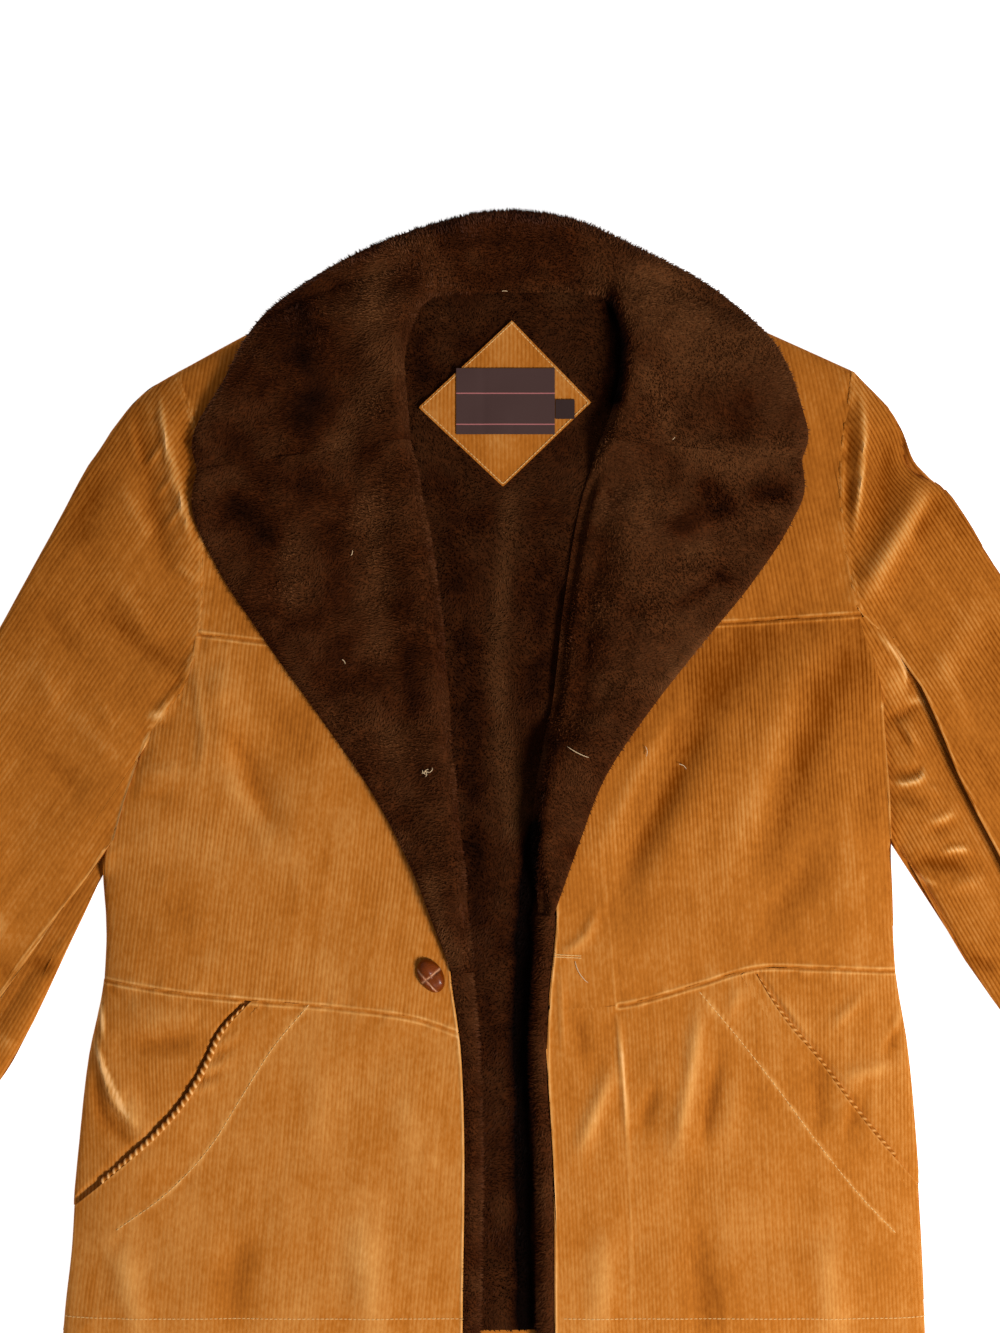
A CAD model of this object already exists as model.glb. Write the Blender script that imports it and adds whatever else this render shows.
"""Corduroy rancher jacket with a wide pile collar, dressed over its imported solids.

Lengths inside the functions are millimetres in the frame of the solids: the floor is z = 0, +Y runs
from hem to collar and +X to the wearer's left sleeve. Properties are metres, as Blender shows them.
"""

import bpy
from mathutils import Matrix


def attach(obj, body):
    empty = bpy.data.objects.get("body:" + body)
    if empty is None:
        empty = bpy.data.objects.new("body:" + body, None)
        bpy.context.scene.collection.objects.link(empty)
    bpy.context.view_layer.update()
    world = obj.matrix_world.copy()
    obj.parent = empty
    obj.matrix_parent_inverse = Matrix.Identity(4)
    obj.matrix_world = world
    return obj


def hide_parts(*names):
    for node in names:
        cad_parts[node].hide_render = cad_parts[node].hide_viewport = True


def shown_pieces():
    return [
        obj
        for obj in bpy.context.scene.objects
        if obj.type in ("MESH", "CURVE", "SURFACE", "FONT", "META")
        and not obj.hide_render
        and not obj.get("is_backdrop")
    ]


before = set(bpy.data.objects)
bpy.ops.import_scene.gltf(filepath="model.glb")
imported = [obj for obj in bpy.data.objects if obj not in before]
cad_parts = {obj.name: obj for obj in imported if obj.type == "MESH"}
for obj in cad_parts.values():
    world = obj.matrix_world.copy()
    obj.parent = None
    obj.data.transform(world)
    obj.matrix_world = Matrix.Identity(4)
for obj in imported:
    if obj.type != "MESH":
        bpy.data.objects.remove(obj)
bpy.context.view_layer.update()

import math
from functools import partial

import bpy
import numpy as np
from mathutils import Vector
from mathutils.bvhtree import BVHTree

bl_info = {
    "name": "Rancher jacket",
    "version": (1, 0, 0),
    "blender": (4, 5, 0),
    "location": "View3D > Sidebar > Jacket",
    "description": "Corduroy rancher jacket with a pile collar, laid open on its back",
    "category": "Add Mesh",
}

MM = 0.001
RIGHT, LEFT = "right", "left"
SIDES = (RIGHT, LEFT)
BODY = "root"
SHARP_ANGLE = math.radians(70)

# Layers, as in the solids
BACK_CLOTH = 2.0  # corduroy of the back, flat on the floor
LAYER_GAP = 0.7  # between panels that lie on each other
SEAM_GAP = 0.3
BODY_LOFT = 14.0  # how far the piled layers lift the front over its edges
SLEEVE_LOFT = 9.0
LOFT_START = 240.0  # distance from the centre where body loft starts to change
LOFT_CHANGE = 140.0
EDGE_ROUNDING = 55.0  # distance over which an edge rounds up to the full loft
CONTACT_LIFT = 18.0  # where a sleeve lies against the body, both are as full as this far from an edge
EDGE_LOWER = 2.3  # underside of the front's wall at a side seam
EDGE_UPPER = 4.5  # its upper side there
LOWER_SHARE = 0.45  # share of the loft that lies under the front's wall
BACK_INSET = 2.2
LINING_INSET = 13.0
NECK_UNDERLAP = 12.0  # how far the lining runs in under the collar
FACING_WIDTH = 13.5  # pile facing that shows past the corduroy's front edge
FACING_RISE = {RIGHT: 0.8, LEFT: 3.4}
EDGE_SETBACK = 1.2  # how far the facing lies below the corduroy's front edge
EDGE_SHOWN = 0.8  # how far it stops short of that edge
PILE = 9.0  # thickness of collar and lapels
ROLL_RISE = 8.0  # extra rise of the springy roll line
ROLL_REACH = 22.0
ROLL_RADIUS = 9.0
COLLAR_CREST = 34.0  # height of the collar's fold behind the neck
CREST_RADIUS = 14.0
COLLAR_EDGE = 6.0
LIP = 2.5
SEAT_START, SEAT_LENGTH = 4.5, 6.0
THINNEST = 1.2
EDGE_CLEAR = 2.0
FOLD_CLEAR = 0.4
DROP_START, DROP_LENGTH = 10.0, 20.0
PATCH_CLOTH = 1.5
LABEL_CLOTH = 0.9
MOUTH_LIFT = {RIGHT: 2.4, LEFT: 0.3}
MOUTH_SINK = {RIGHT: 4.4, LEFT: 1.6}
LIFT_REACH, LIFT_ENDS = 40.0, 60.0
SINK_START, SINK_REACH = 3.2, 3.5
POCKET_UNDERLAP = 12.0

# Outlines, each a few points (x, y) on a smooth line, as in the solids
SHOULDER = {
    RIGHT: [(-256, 319), (-199, 350), (-135, 381), (-61, 402)],
    LEFT: [(275, 320), (206, 351), (146, 377), (71, 402)],
}
NECK = [(-61, 402), (-48, 388), (-25, 383), (5, 382), (35, 383), (57, 388), (71, 402)]
ARMHOLE = {
    RIGHT: [(-256, 319), (-236, 257), (-235, 172), (-239, 114), (-254, 66), (-275, 41)],
    LEFT: [(275, 320), (264, 234), (272, 160), (279, 129), (291, 90), (297, 58)],
}
SIDE_SEAM = {
    RIGHT: [(-275, 41), (-293, -4), (-313, -72), (-311, -117), (-313, -157), (-325, -218),
            (-333, -289), (-346, -445)],
    LEFT: [(297, 58), (301, 16), (304, -51), (306, -94), (308, -150), (317, -205), (325, -289),
           (332, -445)],
}
YOKE_SEAM = {
    RIGHT: [(-239, 114), (-182, 107), (-61, 100)],
    LEFT: [(279, 129), (169, 122), (58, 118)],
}
WAIST_SEAM = {
    RIGHT: [(-313, -157), (-236, -168), (-196, -172), (-127, -178), (-65, -187), (-33.5, -198)],
    LEFT: [(308, -150), (247, -147), (194, -147), (154, -159), (90, -176), (35.5, -179)],
}
ROLL = {
    RIGHT: [(-72, 265), (-66, 234), (-55, 172), (-44, 78), (-40, 16), (-33, -47), (-25, -140),
            (-20, -198), (-18, -234), (-18, -445)],
    LEFT: [(78, 265), (68, 240), (48, 140), (39, 62), (33, 27), (23, -47), (27, -94), (22, -179),
           (21, -218), (25, -289), (27, -445)],
}
LAPEL_EDGE = {
    RIGHT: [(-239, 241), (-243, 218), (-225, 168), (-191, 115), (-141, 45), (-102, -12),
            (-71, -73), (-52, -122), (-41, -150)],
    LEFT: [(234, 249), (236, 225), (225, 199), (197, 156), (154, 103), (115, 53), (80, 0),
           (60, -51), (41, -105)],
}
POCKET_MOUTH = {
    RIGHT: [(-196, -172), (-217, -195), (-232, -226), (-250, -255), (-271, -278), (-295, -300),
            (-336, -334)],
    LEFT: [(194, -147), (220, -187), (246, -218), (271, -252), (300, -288), (326, -317)],
}
SLEEVE_OUTER = {
    RIGHT: [(-256, 319), (-279, 305), (-314, 264), (-353, 195), (-392, 124), (-587, -240)],
    LEFT: [(275, 320), (310, 281), (324, 247), (339, 236), (388, 164), (606, -225)],
}
# The inner edges lie closer to the side seams than in the solids, which keep clear of each other
SLEEVE_INNER = {
    RIGHT: [(-276, 40), (-294, -5), (-314, -72), (-340, -129), (-392, -232), (-463, -320)],
    LEFT: [(298, 57), (302, 16), (305.5, -49), (324, -72), (360, -136), (483, -300)],
}
# Nips where a fold pulls a sleeve's outer edge in: place, depth, reach along the edge and across
NIPS = {RIGHT: None, LEFT: ((325, 251), 7.0, 20.0, 45.0)}
# Under sleeve that shows past the front sleeve seam.
# Columns: share of the way from shoulder tip to cuff, width
UNDER_WIDTH = {
    RIGHT: [(0, 0), (0.55, 0), (0.63, 14), (0.72, 28), (0.85, 36), (1, 40)],
    LEFT: [(0, 0), (0.283, 0), (0.317, 12), (0.385, 30), (0.463, 47), (0.538, 69), (0.597, 61),
           (0.645, 59), (0.8, 53), (1, 45)],
}
ARMPIT_HOLLOW = (325, 72)  # deepest point of the left sleeve's edge in the armpit
YOKE_NECK = {
    RIGHT: [(-61, 100), (-80, 234), (-90, 316), (-89, 345), (-76, 398)],
    LEFT: [(58, 118), (83, 240), (104, 300), (108, 340), (86, 397)],
}
BREAK = {RIGHT: -150.0, LEFT: -105.0}
BREAK_SPREAD = {RIGHT: 3.3, LEFT: 1.1}  # how much wider the facing is at the break
SPREAD_FADE = 70.0
FREE_BELOW = {RIGHT: -72.0, LEFT: -49.0}  # a sleeve comes free of the body
COVERED_ABOVE = {RIGHT: -72.0, LEFT: 58.0}  # the sleeve lies over the body's edge
OUTWARDS = {RIGHT: -1, LEFT: 1}  # direction along X from the centre to the sleeve
HEM = -445.0

# Collar, from the right gorge round the neck to the left gorge.
# Columns: inner x, inner y, outer x, outer y, and how much it stands up (0 falls, 1 stands)
COLLAR = [
    (-72, 265, -239, 241, 0.0),
    (-75, 296, -243, 258, 0.0),
    (-77, 334, -219, 311, 0.0),
    (-69, 362, -193, 359, 0.0),
    (-62, 373, -158, 388, 0.1),
    (-35, 381, -65, 433, 0.8),
    (5, 381, 3, 446, 1.0),
    (46, 381, 56, 439, 1.0),
    (70, 381, 107, 417, 0.7),
    (84, 373, 171, 381, 0.1),
    (93, 350, 215, 338, 0.0),
    (91, 310, 234, 290, 0.0),
    (84, 283, 239, 265, 0.0),
    (78, 265, 234, 249, 0.0),
]
PATCH = {"top": (7, 359), "left": (-66, 291), "bottom": (0, 229), "right": (69, 295)}
LABEL = {"left": -36.5, "right": 40.5, "bottom": 270.0, "top": 321.5}
SIZE_TAB = {"left": 41.2, "right": 56.0, "bottom": 282.0, "top": 297.0}
BUTTON_PLACE = (-56.0, -152.0)
BUTTON_SIZE = (28.0, 19.0, 9.5)
BUTTON_TURN = math.radians(120)

# Largest folds, as in the solids. Columns: start x, start y, end x, end y, rise, reach to each side
FOLDS = [
    (-264, 296, -238, 176, 3.5, 14),
    (280, 296, 277, 195, 3.5, 12),
    (337, 238, 280, 140, 4.5, 16),
    (262, 110, 120, -40, 3.0, 38),
    (150, 40, 90, -75, -2.5, 22),
    (-225, 78, -217, 16, 3.0, 16),
    (-193, 31, -186, -39, -2.5, 18),
    (-318, -203, -299, -250, 3.0, 12),
    (122, -218, 146, -289, 2.5, 16),
    (-420, 40, -395, -110, 2.5, 20),
    (455, 20, 420, -120, 2.5, 20),
]
# Finer creases of the cloth, ridges and troughs. Columns: rise, reach to each side, points along it
CREASES = [
    # right sleeve
    (4.6, 3.0, [(-268, 303), (-262, 265), (-255, 235), (-247, 206), (-241, 184)]),
    (1.6, 8, [(-278, 300), (-272, 282)]),
    (-2.6, 5, [(-250, 290), (-247, 255), (-240, 222)]),
    (-2.8, 9, [(-286, 292), (-281, 250), (-271, 210), (-262, 172), (-254, 150)]),
    (1.8, 4, [(-293, 288), (-288, 262), (-277, 226)]),
    (-2.4, 16, [(-306, 250), (-326, 205), (-334, 176)]),
    (1.6, 5, [(-299, 228), (-284, 205), (-272, 186)]),
    (-2.4, 10, [(-316, 139), (-288, 112), (-264, 96), (-248, 105)]),
    (1.8, 7, [(-303, 159), (-284, 132), (-275, 116)]),
    (2.2, 3, [(-252, 166), (-236, 154)]),
    (-1.4, 10, [(-262, 102), (-252, 77), (-262, 56)]),
    (1.8, 3, [(-264, 262), (-278, 244)]),
    (1.6, 3, [(-257, 236), (-271, 220)]),
    (1.6, 3, [(-250, 212), (-262, 198)]),
    (2.6, 4, [(-256, 65), (-277, 45)]),
    (1.4, 8, [(-345, 62), (-320, 38), (-299, 13)]),
    (-1.6, 9, [(-363, 142), (-342, 114), (-330, 97)]),
    (1.6, 6, [(-362, 90), (-347, 57)]),
    (1.4, 5, [(-315, 62), (-302, 42)]),
    (-1.6, 10, [(-370, 32), (-345, 8), (-321, -17)]),
    (-2.0, 8, [(-394, -147), (-371, -159)]),
    (3.0, 12, [(-440, -60), (-412, -98), (-380, -130)]),
    (-3.0, 14, [(-500, -150), (-430, -230)]),
    (2.8, 12, [(-520, -190), (-470, -270)]),
    # right front
    (1.6, 5, [(-241, 102), (-236, 60), (-233, 28), (-238, 0)]),
    (1.6, 12, [(-223, 94), (-212, 58)]),
    (-2.6, 9, [(-217, 50), (-201, 20), (-190, -10), (-177, -38)]),
    (1.8, 9, [(-225, 15), (-198, -20), (-179, -58)]),
    (-1.6, 18, [(-264, -78), (-238, -121)]),
    (1.4, 12, [(-173, -50), (-149, -86)]),
    (-1.6, 24, [(-188, 82), (-138, -4)]),
    (-1.4, 5, [(-273, 34), (-284, 10), (-293, -18)]),
    (1.4, 5, [(-278, 8), (-252, 5)]),
    (-1.2, 6, [(-284, -12), (-255, -12)]),
    # right skirt
    (5.0, 2.6, [(-320, -198), (-301, -252), (-282, -271)]),
    (-3.4, 6, [(-320, -222), (-311, -262), (-284, -287)]),
    (-2.8, 8, [(-294, -206), (-262, -206), (-238, -203)]),
    (1.8, 9, [(-278, -182), (-236, -186)]),
    (2.2, 8, [(-292, -246), (-284, -270)]),
    (3.4, 2.6, [(-317, -174), (-312, -202)]),
    (-1.8, 5, [(-310, -161), (-294, -171)]),
    (1.6, 3, [(-224, -207), (-203, -197)]),
    (-1.5, 3, [(-228, -215), (-207, -206)]),
    (1.6, 3, [(-235, -227), (-211, -217)]),
    (-1.4, 3, [(-240, -235), (-217, -226)]),
    (1.4, 3, [(-246, -244), (-223, -235)]),
    (1.4, 14, [(-135, -216), (-150, -291)]),
    (1.0, 14, [(-80, -240), (-65, -291)]),
    (3.0, 12, [(-300, -360), (-280, -440)]),
    (-2.6, 16, [(-200, -340), (-210, -440)]),
    (2.6, 14, [(-110, -330), (-100, -440)]),
    # left front
    (-2.2, 18, [(216, 124), (178, 86), (150, 42)]),
    (-3.0, 10, [(160, 56), (142, 14), (124, -22), (106, -60), (90, -100)]),
    (2.0, 8, [(144, 67), (104, 4), (74, -62)]),
    (2.2, 15, [(258, 114), (226, 80), (212, 38), (200, 0), (182, -48), (169, -95)]),
    (-2.4, 14, [(285, 108), (256, 70), (240, 30), (226, -6), (218, -40), (208, -70)]),
    (-2.0, 14, [(254, -65), (224, -94), (213, -129)]),
    (2.4, 4, [(44, -136), (60, -126), (75, -100)]),
    (1.2, 14, [(271, 18), (267, -127)]),
    # left skirt
    (4.0, 7, [(154, -174), (148, -220), (135, -289)]),
    (3.6, 7, [(88, -219), (72, -258), (58, -296)]),
    (-1.8, 8, [(57, -177), (67, -219)]),
    (-2.2, 6, [(122, -234), (106, -276)]),
    (-2.6, 5, [(169, -212), (155, -288)]),
    (1.4, 9, [(183, -225), (171, -289)]),
    (-2.0, 9, [(246, -218), (250, -276)]),
    (-2.8, 7, [(277, -252), (273, -275)]),
    (-2.8, 6, [(307, -192), (303, -214)]),
    (2.4, 4, [(298, -205), (314, -180)]),
    (2.4, 6, [(262, -233), (307, -221)]),
    (2.0, 5, [(256, -192), (284, -166)]),
    (1.4, 4, [(213, -163), (237, -198)]),
    (2.0, 2.6, [(90, -184), (97, -285)]),
    (1.2, 3, [(45, -150), (47, -213)]),
    (1.6, 5, [(187, -164), (174, -181)]),
    (2.8, 14, [(250, -350), (260, -440)]),
    (-2.6, 14, [(150, -330), (165, -440)]),
    (2.4, 12, [(80, -340), (75, -440)]),
    # left sleeve
    (4.8, 3.5, [(280, 306), (281, 272), (278, 236), (273, 190)]),
    (-1.8, 4, [(268, 294), (269, 240), (268, 202)]),
    (-2.2, 10, [(309, 280), (298, 226), (287, 184)]),
    (4.0, 10, [(340, 239), (316, 200), (296, 170), (281, 136)]),
    (-3.2, 9, [(342, 225), (326, 200), (316, 185)]),
    (1.4, 6, [(339, 104), (352, 70), (365, 42)]),
    (1.6, 12, [(378, 144), (355, 106), (333, 68)]),
    (3.0, 12, [(430, -120), (470, -60)]),
    (-3.0, 13, [(480, -190), (530, -130)]),
    (2.8, 10, [(520, -240), (560, -190)]),
]
# Creases of the under sleeves, in the same columns
UNDER_CREASES = [
    (3.5, 4, [(290, 115), (301, 105), (313, 88), (315, 70)]),
    (-3.0, 2.5, [(299, 111), (316, 88), (319, 66)]),
    (2.5, 6, [(305, 82), (306, 64)]),
    (-3.5, 4, [(300, 45), (312, 52), (322, 56)]),
    (-2.6, 3.5, [(304, 45), (311, 37), (319, 28)]),
    (2.4, 4, [(314, 43), (324, 27)]),
    (-2.4, 4, [(303, 8), (316, 5), (326, 9), (329, 17)]),
    (3.2, 2.8, [(303, -3), (317, -2), (327, 2), (329, 12)]),
    (-2.4, 6, [(303, -11), (318, -14), (334, -20)]),
    (1.6, 2.5, [(333, -5), (340, -9)]),
    (2.2, 3, [(331, -33), (344, -30), (356, -23)]),
    (-1.8, 4, [(334, -41), (350, -36)]),
    (3.0, 2.6, [(342, -57), (352, -54.5), (366, -54.5)]),
    (-3.6, 7, [(318, -63), (343, -65), (366, -68)]),
    (2.4, 3, [(315, -69), (329, -77), (341, -83)]),
    (2.0, 5, [(350, -84), (372, -78)]),
    (-3.0, 6, [(362, -137), (386, -149)]),
    (2.4, 6, [(390, -190), (420, -180)]),
    (-2.4, 7, [(-345, -150), (-375, -140)]),
    (2.4, 5, [(-380, -210), (-405, -196)]),
]
# Lines where the nap is rubbed pale. Columns: how much lighter, reach to each side, points along it
RUBBED = [
    (0.75, 1.6, [(-321, -203), (-311, -224), (-299, -248), (-292, -262)]),
    (0.60, 1.4, [(-317, -168), (-314, -180), (-312, -199)]),
    (0.40, 3.0, [(-274, 50), (-267, 51)]),
    (0.30, 1.6, [(-268, 303), (-262, 265), (-255, 235), (-247, 206), (-241, 184)]),
    (0.30, 1.6, [(280, 306), (281, 272), (278, 236), (273, 190)]),
    (0.12, 8.0, [(338, 236), (316, 200), (296, 170), (283, 142)]),
    (0.35, 2.0, [(290, 115), (301, 105), (313, 88), (315, 70)]),
    (0.25, 1.5, [(302, 88), (310, 75), (314, 63)]),
    (0.45, 2.5, [(316, 62), (329, 61)]),
    (0.42, 1.5, [(303, -3), (316, -2.5), (326, 2), (329, 10)]),
    (0.26, 1.6, [(333, -33), (345, -30), (355, -24)]),
    (0.42, 1.5, [(343, -57), (353, -54.5), (365, -54.5)]),
    (0.20, 1.6, [(316, -70), (329, -78), (340, -83)]),
    (0.30, 1.4, [(92, -204), (97, -263)]),
]

# Stitched lines on the corduroy, beside those that follow a seam
POCKET_STITCHES = {
    RIGHT: [(-152, -176), (-178, -207), (-203, -246), (-229, -287), (-262, -322), (-300, -350)],
    LEFT: [(154, -166), (185, -203), (216, -243), (247, -285), (282, -328), (305, -352)],
}
PLACKET_STITCHES = [(76, -47), (82, -109), (87, -164), (91, -203), (96, -257), (98, -289), (100, -440)]
BUTTONHOLE = ((41.0, -136.5), (60.0, -137.5))

# Lint and loose threads. Columns: x, y, length, direction in degrees, bend
LOOSE_THREADS = [
    (-118, 174, 5, 60, 0.4),
    (-122, 90, 5, 110, 0.5),
    (-59, 7, 7, 15, 0.9),
    (-62, 9, 6, -70, 0.9),
    (-63, 5, 7, 35, -0.8),
    (-57, 9, 6, 205, 0.9),
    (-60, 3, 6, 75, 0.7),
    (131, 264, 3, 40, 0.2),
    (4, 381, 5, 170, 0.3),
    (48, 28, 21, -32, 0.15),
    (111, 18, 9, 80, 0.5),
    (143, 8, 8, 130, 0.5),
    (56, -139, 22, -70, 0.35),
]

# Cloth of the scene
CLOTH = 1.5  # thickness of a corduroy panel
ROW_STEP, FINE_STEP = 5.5, 3.4  # distance between a panel's rows, and an under sleeve's
RIB_STEPS = np.array([0.0, 1.0, 1.0])  # a rib's profile at its three columns
EDGE_SLIVER = 0.5  # a panel's first and last column, in from its outline
NECK_REACH = 175.0  # the yokes' neck edges lie nearer than this to the grain through the origin
EDGE_DROP = 2.2  # how far the cloth turns down at the garment's edges
EDGE_ROLL = 5.0
SWAY = 1.6  # how far the ribs wander from straight
FOLD_DEPTH = 1.6  # limp cloth folds deeper than the solids
CREST_SHARE = 0.8  # share of a crease's width that looks lighter or darker
CREST_LIGHT = 0.075  # how much lighter a crest looks for each millimetre of its rise
WAVE = 0.9  # uneven lie of the cloth
SEAM_WIDTH = 0.9  # half width of a seam's groove
RIDGE_WIDTH = 0.9
PUCKER_REACH = 10.0
END_ROWS = (0.0, 0.7, 1.4, 2.1, 2.8, 3.6, 4.6, 6.0)  # close rows beside the seam at a panel's end
# Seams. Columns: depth of the groove, rise of the ridges beside it and their distance from it, how much
# lighter the ridges and darker the groove look, and how far the cloth puckers beside them
SEWN = (0.3, 0.45, 2.4, 0.36, 0.08, 0.6)
EASED = (0.3, 0.25, 1.8, 0.16, 0.1, 0.8)
SET_IN = (-0.4, 0.3, 1.0, 0.26, 0.0, 0.8)
LAID = (-0.8, 0.3, 0.9, 0.6, 0.0, 0.3)
TUCKED = (1.0, 0.0, 2.0, 0.0, 0.2, 0.5)
FOLDED = (0.0, 0.7, 1.2, 0.5, 0.0, 0.0)
TOPSTITCHED = (0.0, 0.3, 0.4, 0.34, 0.0, 0.25)
CREASED = (0.0, 0.2, 0.4, 0.14, 0.0, 0.2)
RUBBED_EVEN, RUBBED_UNEVEN = 0.72, 0.35  # how evenly a seam's ridges are rubbed pale
# Grain of each panel. Columns: lean in degrees, share of the wale pitch, contrast of the ribs at the
# panel's top and bottom, and its lightness there
GRAIN = {
    "right_yoke": (-8.0, 1.0, 0.7, 0.7, 0.35, 0.37),
    "right_front": (-6.8, 0.99, 0.66, 0.58, 0.45, 0.47),
    "right_skirt_front": (-5.0, 0.98, 0.42, 0.36, 0.49, 0.49),
    "right_skirt_side": (2.0, 0.91, 0.75, 0.75, 0.45, 0.48),
    "left_yoke": (10.8, 1.06, 0.74, 0.74, 0.36, 0.35),
    "left_front": (4.0, 0.98, 1.25, 0.3, 0.24, 0.42),
    "left_skirt_front": (3.0, 0.93, 0.4, 0.45, 0.43, 0.46),
    "left_skirt_side": (1.0, 0.94, 0.7, 0.7, 0.44, 0.44),
    "right_sleeve_top": (-34.0, 0.99, 1.3, 0.1, 0.35, 0.38),
    "left_sleeve_top": (33.0, 0.99, 1.6, 0.3, 0.28, 0.32),
    "right_sleeve_under": (-31.3, 1.0, 0.7, 0.6, 0.36, 0.36),
    "left_sleeve_under": (30.0, 0.95, 1.4, 1.3, 0.35, 0.33),
    "neck_patch": (0.0, 1.0, 0.7, 0.7, 0.42, 0.42),
    "back": (0.0, 1.0, 1.0, 1.0, 0.4, 0.4),
}
RIB_LIGHT = 0.21  # how much lighter a rib is than the groove beside it
RIB_MIDDLE = 0.67  # mean of a rib's profile
RIB_SIZES = (0.75, 1.1)  # smallest and largest share of the full rise that a rib has
RIB_SHADE = 0.022  # how much ribs differ in lightness
STREAK_SHADE = 0.035  # how much streaks along the grain do
PUCKER_SHADE = 0.12  # how much lighter a pucker looks for each millimetre of its rise
RIB_KEPT = 0.3  # share of a rib's rise that is left where its nap lies flat
PRESSED = 0.4  # share of the ribs' contrast that is left in a seam
JUMP = 35.0  # neighbouring columns whose ends differ by more than this are parted

# Sleeves, body and skirt where they lie over each other
EDGE_OVERLAP = 2.5  # how far the sleeve's edge lies over the body's at the armhole and below it
OVERLAP_FADE = 20.0  # length over which that ends where the sleeve comes free
UNDERLAP, UNDERLAP_DROP = 2.6, 2.0  # how far the body's edge runs in under the sleeve's, and below it
UNDERLAP_PAST = 0.7  # share of the fade by which the under sleeve's edge runs on under the body's
WAIST_TUCK = 0.8  # how far the skirt runs in under the waist seam
SEAM_LIFT = {RIGHT: 0.3, LEFT: 4.0}  # how far the top sleeve lifts at the front sleeve seam
UNDER_SINK = 9.0  # how far the under sleeve sinks there
UNDER_REACH = 17.0
UNDER_START, UNDER_RAMP = 108.0, 45.0  # where along the seam the two start to part
UNDER_TUCK = 6.0  # how far the under sleeve runs in under the top sleeve
BODY_STEP, BODY_STEP_REACH = 2.6, 25.0  # how far the under sleeve lies below the body's edge
STEP_SHADE, STEP_SHADE_REACH = 0.12, 5.0
BODY_REACH = 2.2  # how far its layer on the floor runs in under the body
BODY_REACH_END = -75.0  # height where that ends

# Cords of the pocket mouths
CORD_RADIUS = {RIGHT: 2.1, LEFT: 1.4}
ROPE = {RIGHT: 0.42, LEFT: 0.25}  # how deep the ribs wind round a pocket's cord
CORD_LIGHT = {RIGHT: 0.95, LEFT: 0.6}  # how much lighter its strands are than the grooves between
CORD_DARK = 0.2  # lightness of the grooves between them
CORD_SINK = {RIGHT: 0.3, LEFT: 0.8}
CORD_OUT = 1.2  # how far the cord's middle lies past the pocket's edge
CORD_ENDS = (0.03, 0.86)  # shares of the mouth's length where the cord starts and ends
CORD_START = 0.3  # share of its thickness that it has at its start
CORD_TAPER = 0.2  # share of the mouth's length over which it thickens
CORD_TWIST = 5.9  # distance from strand to strand along the cord

# Pile of the collar, lapels, facings and lining
EDGE_HAIR_REACH = 3.6  # distance from the outer edge over which the hair grows thick
HAIR_ROOM = 1.4  # how far hair reaches past the pile's outer edge
HAIR_STAND, HAIR_SWIRL, HAIR_LEAN, HAIR_HANG = 0.75, 0.55, 0.55, 0.35  # what turns a hair
HAIR_UNEVEN = 0.36  # how far hairs stray from that
HAIR_SIZES, STITCH_SIZES = (0.65, 1.3), (0.85, 1.1)  # smallest and largest, as shares of the full size
CLUMPS = ((2.1, 34), (1.4, 13), (0.6, 5.5))  # of the pile: rise and size
LAPEL_TAPER = 70.0  # length over which a lapel thins towards its lower end
LAPEL_END = 0.25  # share of its thickness that is left there
LINING_HAIR = 0.7  # share of the collar's hair that the lining has
LINING_SHADE = 0.7  # the lining's curlier pile looks darker
OPEN_SINK = 3.0  # how far the lining sinks in the open front
OPEN_START, OPEN_FADE = 200.0, 100.0  # height where it starts to sink, and length to the full depth
LINING_SHOWN = (-130.0, 140.0)  # from x to x, the lining's columns are close
LINING_FINE, LINING_COARSE, LINING_ROWS = 70, 8, 112
LINING_MARGIN = 16.0  # how far its hair runs on under the rolls
NECK_SIDES = {RIGHT: -95.0, LEFT: 108.0}  # where its hair ends beside the neck
NECK_MIDDLE, NECK_HALF, NECK_LOWEST = 5.0, 75.0, 340.0  # middle, half width and lowest height of its neck
PATCH_ROOM = 1.03  # size of the bare place under the neck patch, as a share of the patch
SOFT_ROLL = {RIGHT: 0.0, LEFT: 1.0}  # how softly a lapel's roll starts on the lining
SOFT_REACH, SOFT_RISE = 46.0, -5.0  # how far in it rises then, and what that adds to the roll's rise
SOFT_TOP, SOFT_BOTTOM, SOFT_LOWEST = 40.0, 50.0, 10.0  # lengths over which that fades, and its lowest height
FACING_ROUND, SETBACK_REACH = 8.0, 5.0  # how far from its outer edge a facing rises and is set back
FACING_ROWS, FACING_COLUMNS = 70, 10
HEM_SHORT = 2.0  # how far a facing ends above the hem
BRUSHED = 0.155  # how pale the pile is brushed on average
TO_LIGHT, TO_LIGHT_REACH = 0.28, 150.0  # how much paler towards the wearer's left, and by where
PALE_CLOUDS = ((0.2, 26, 8), (0.15, 11, 9))  # uneven brushing: amount, size, number of its field
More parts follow.
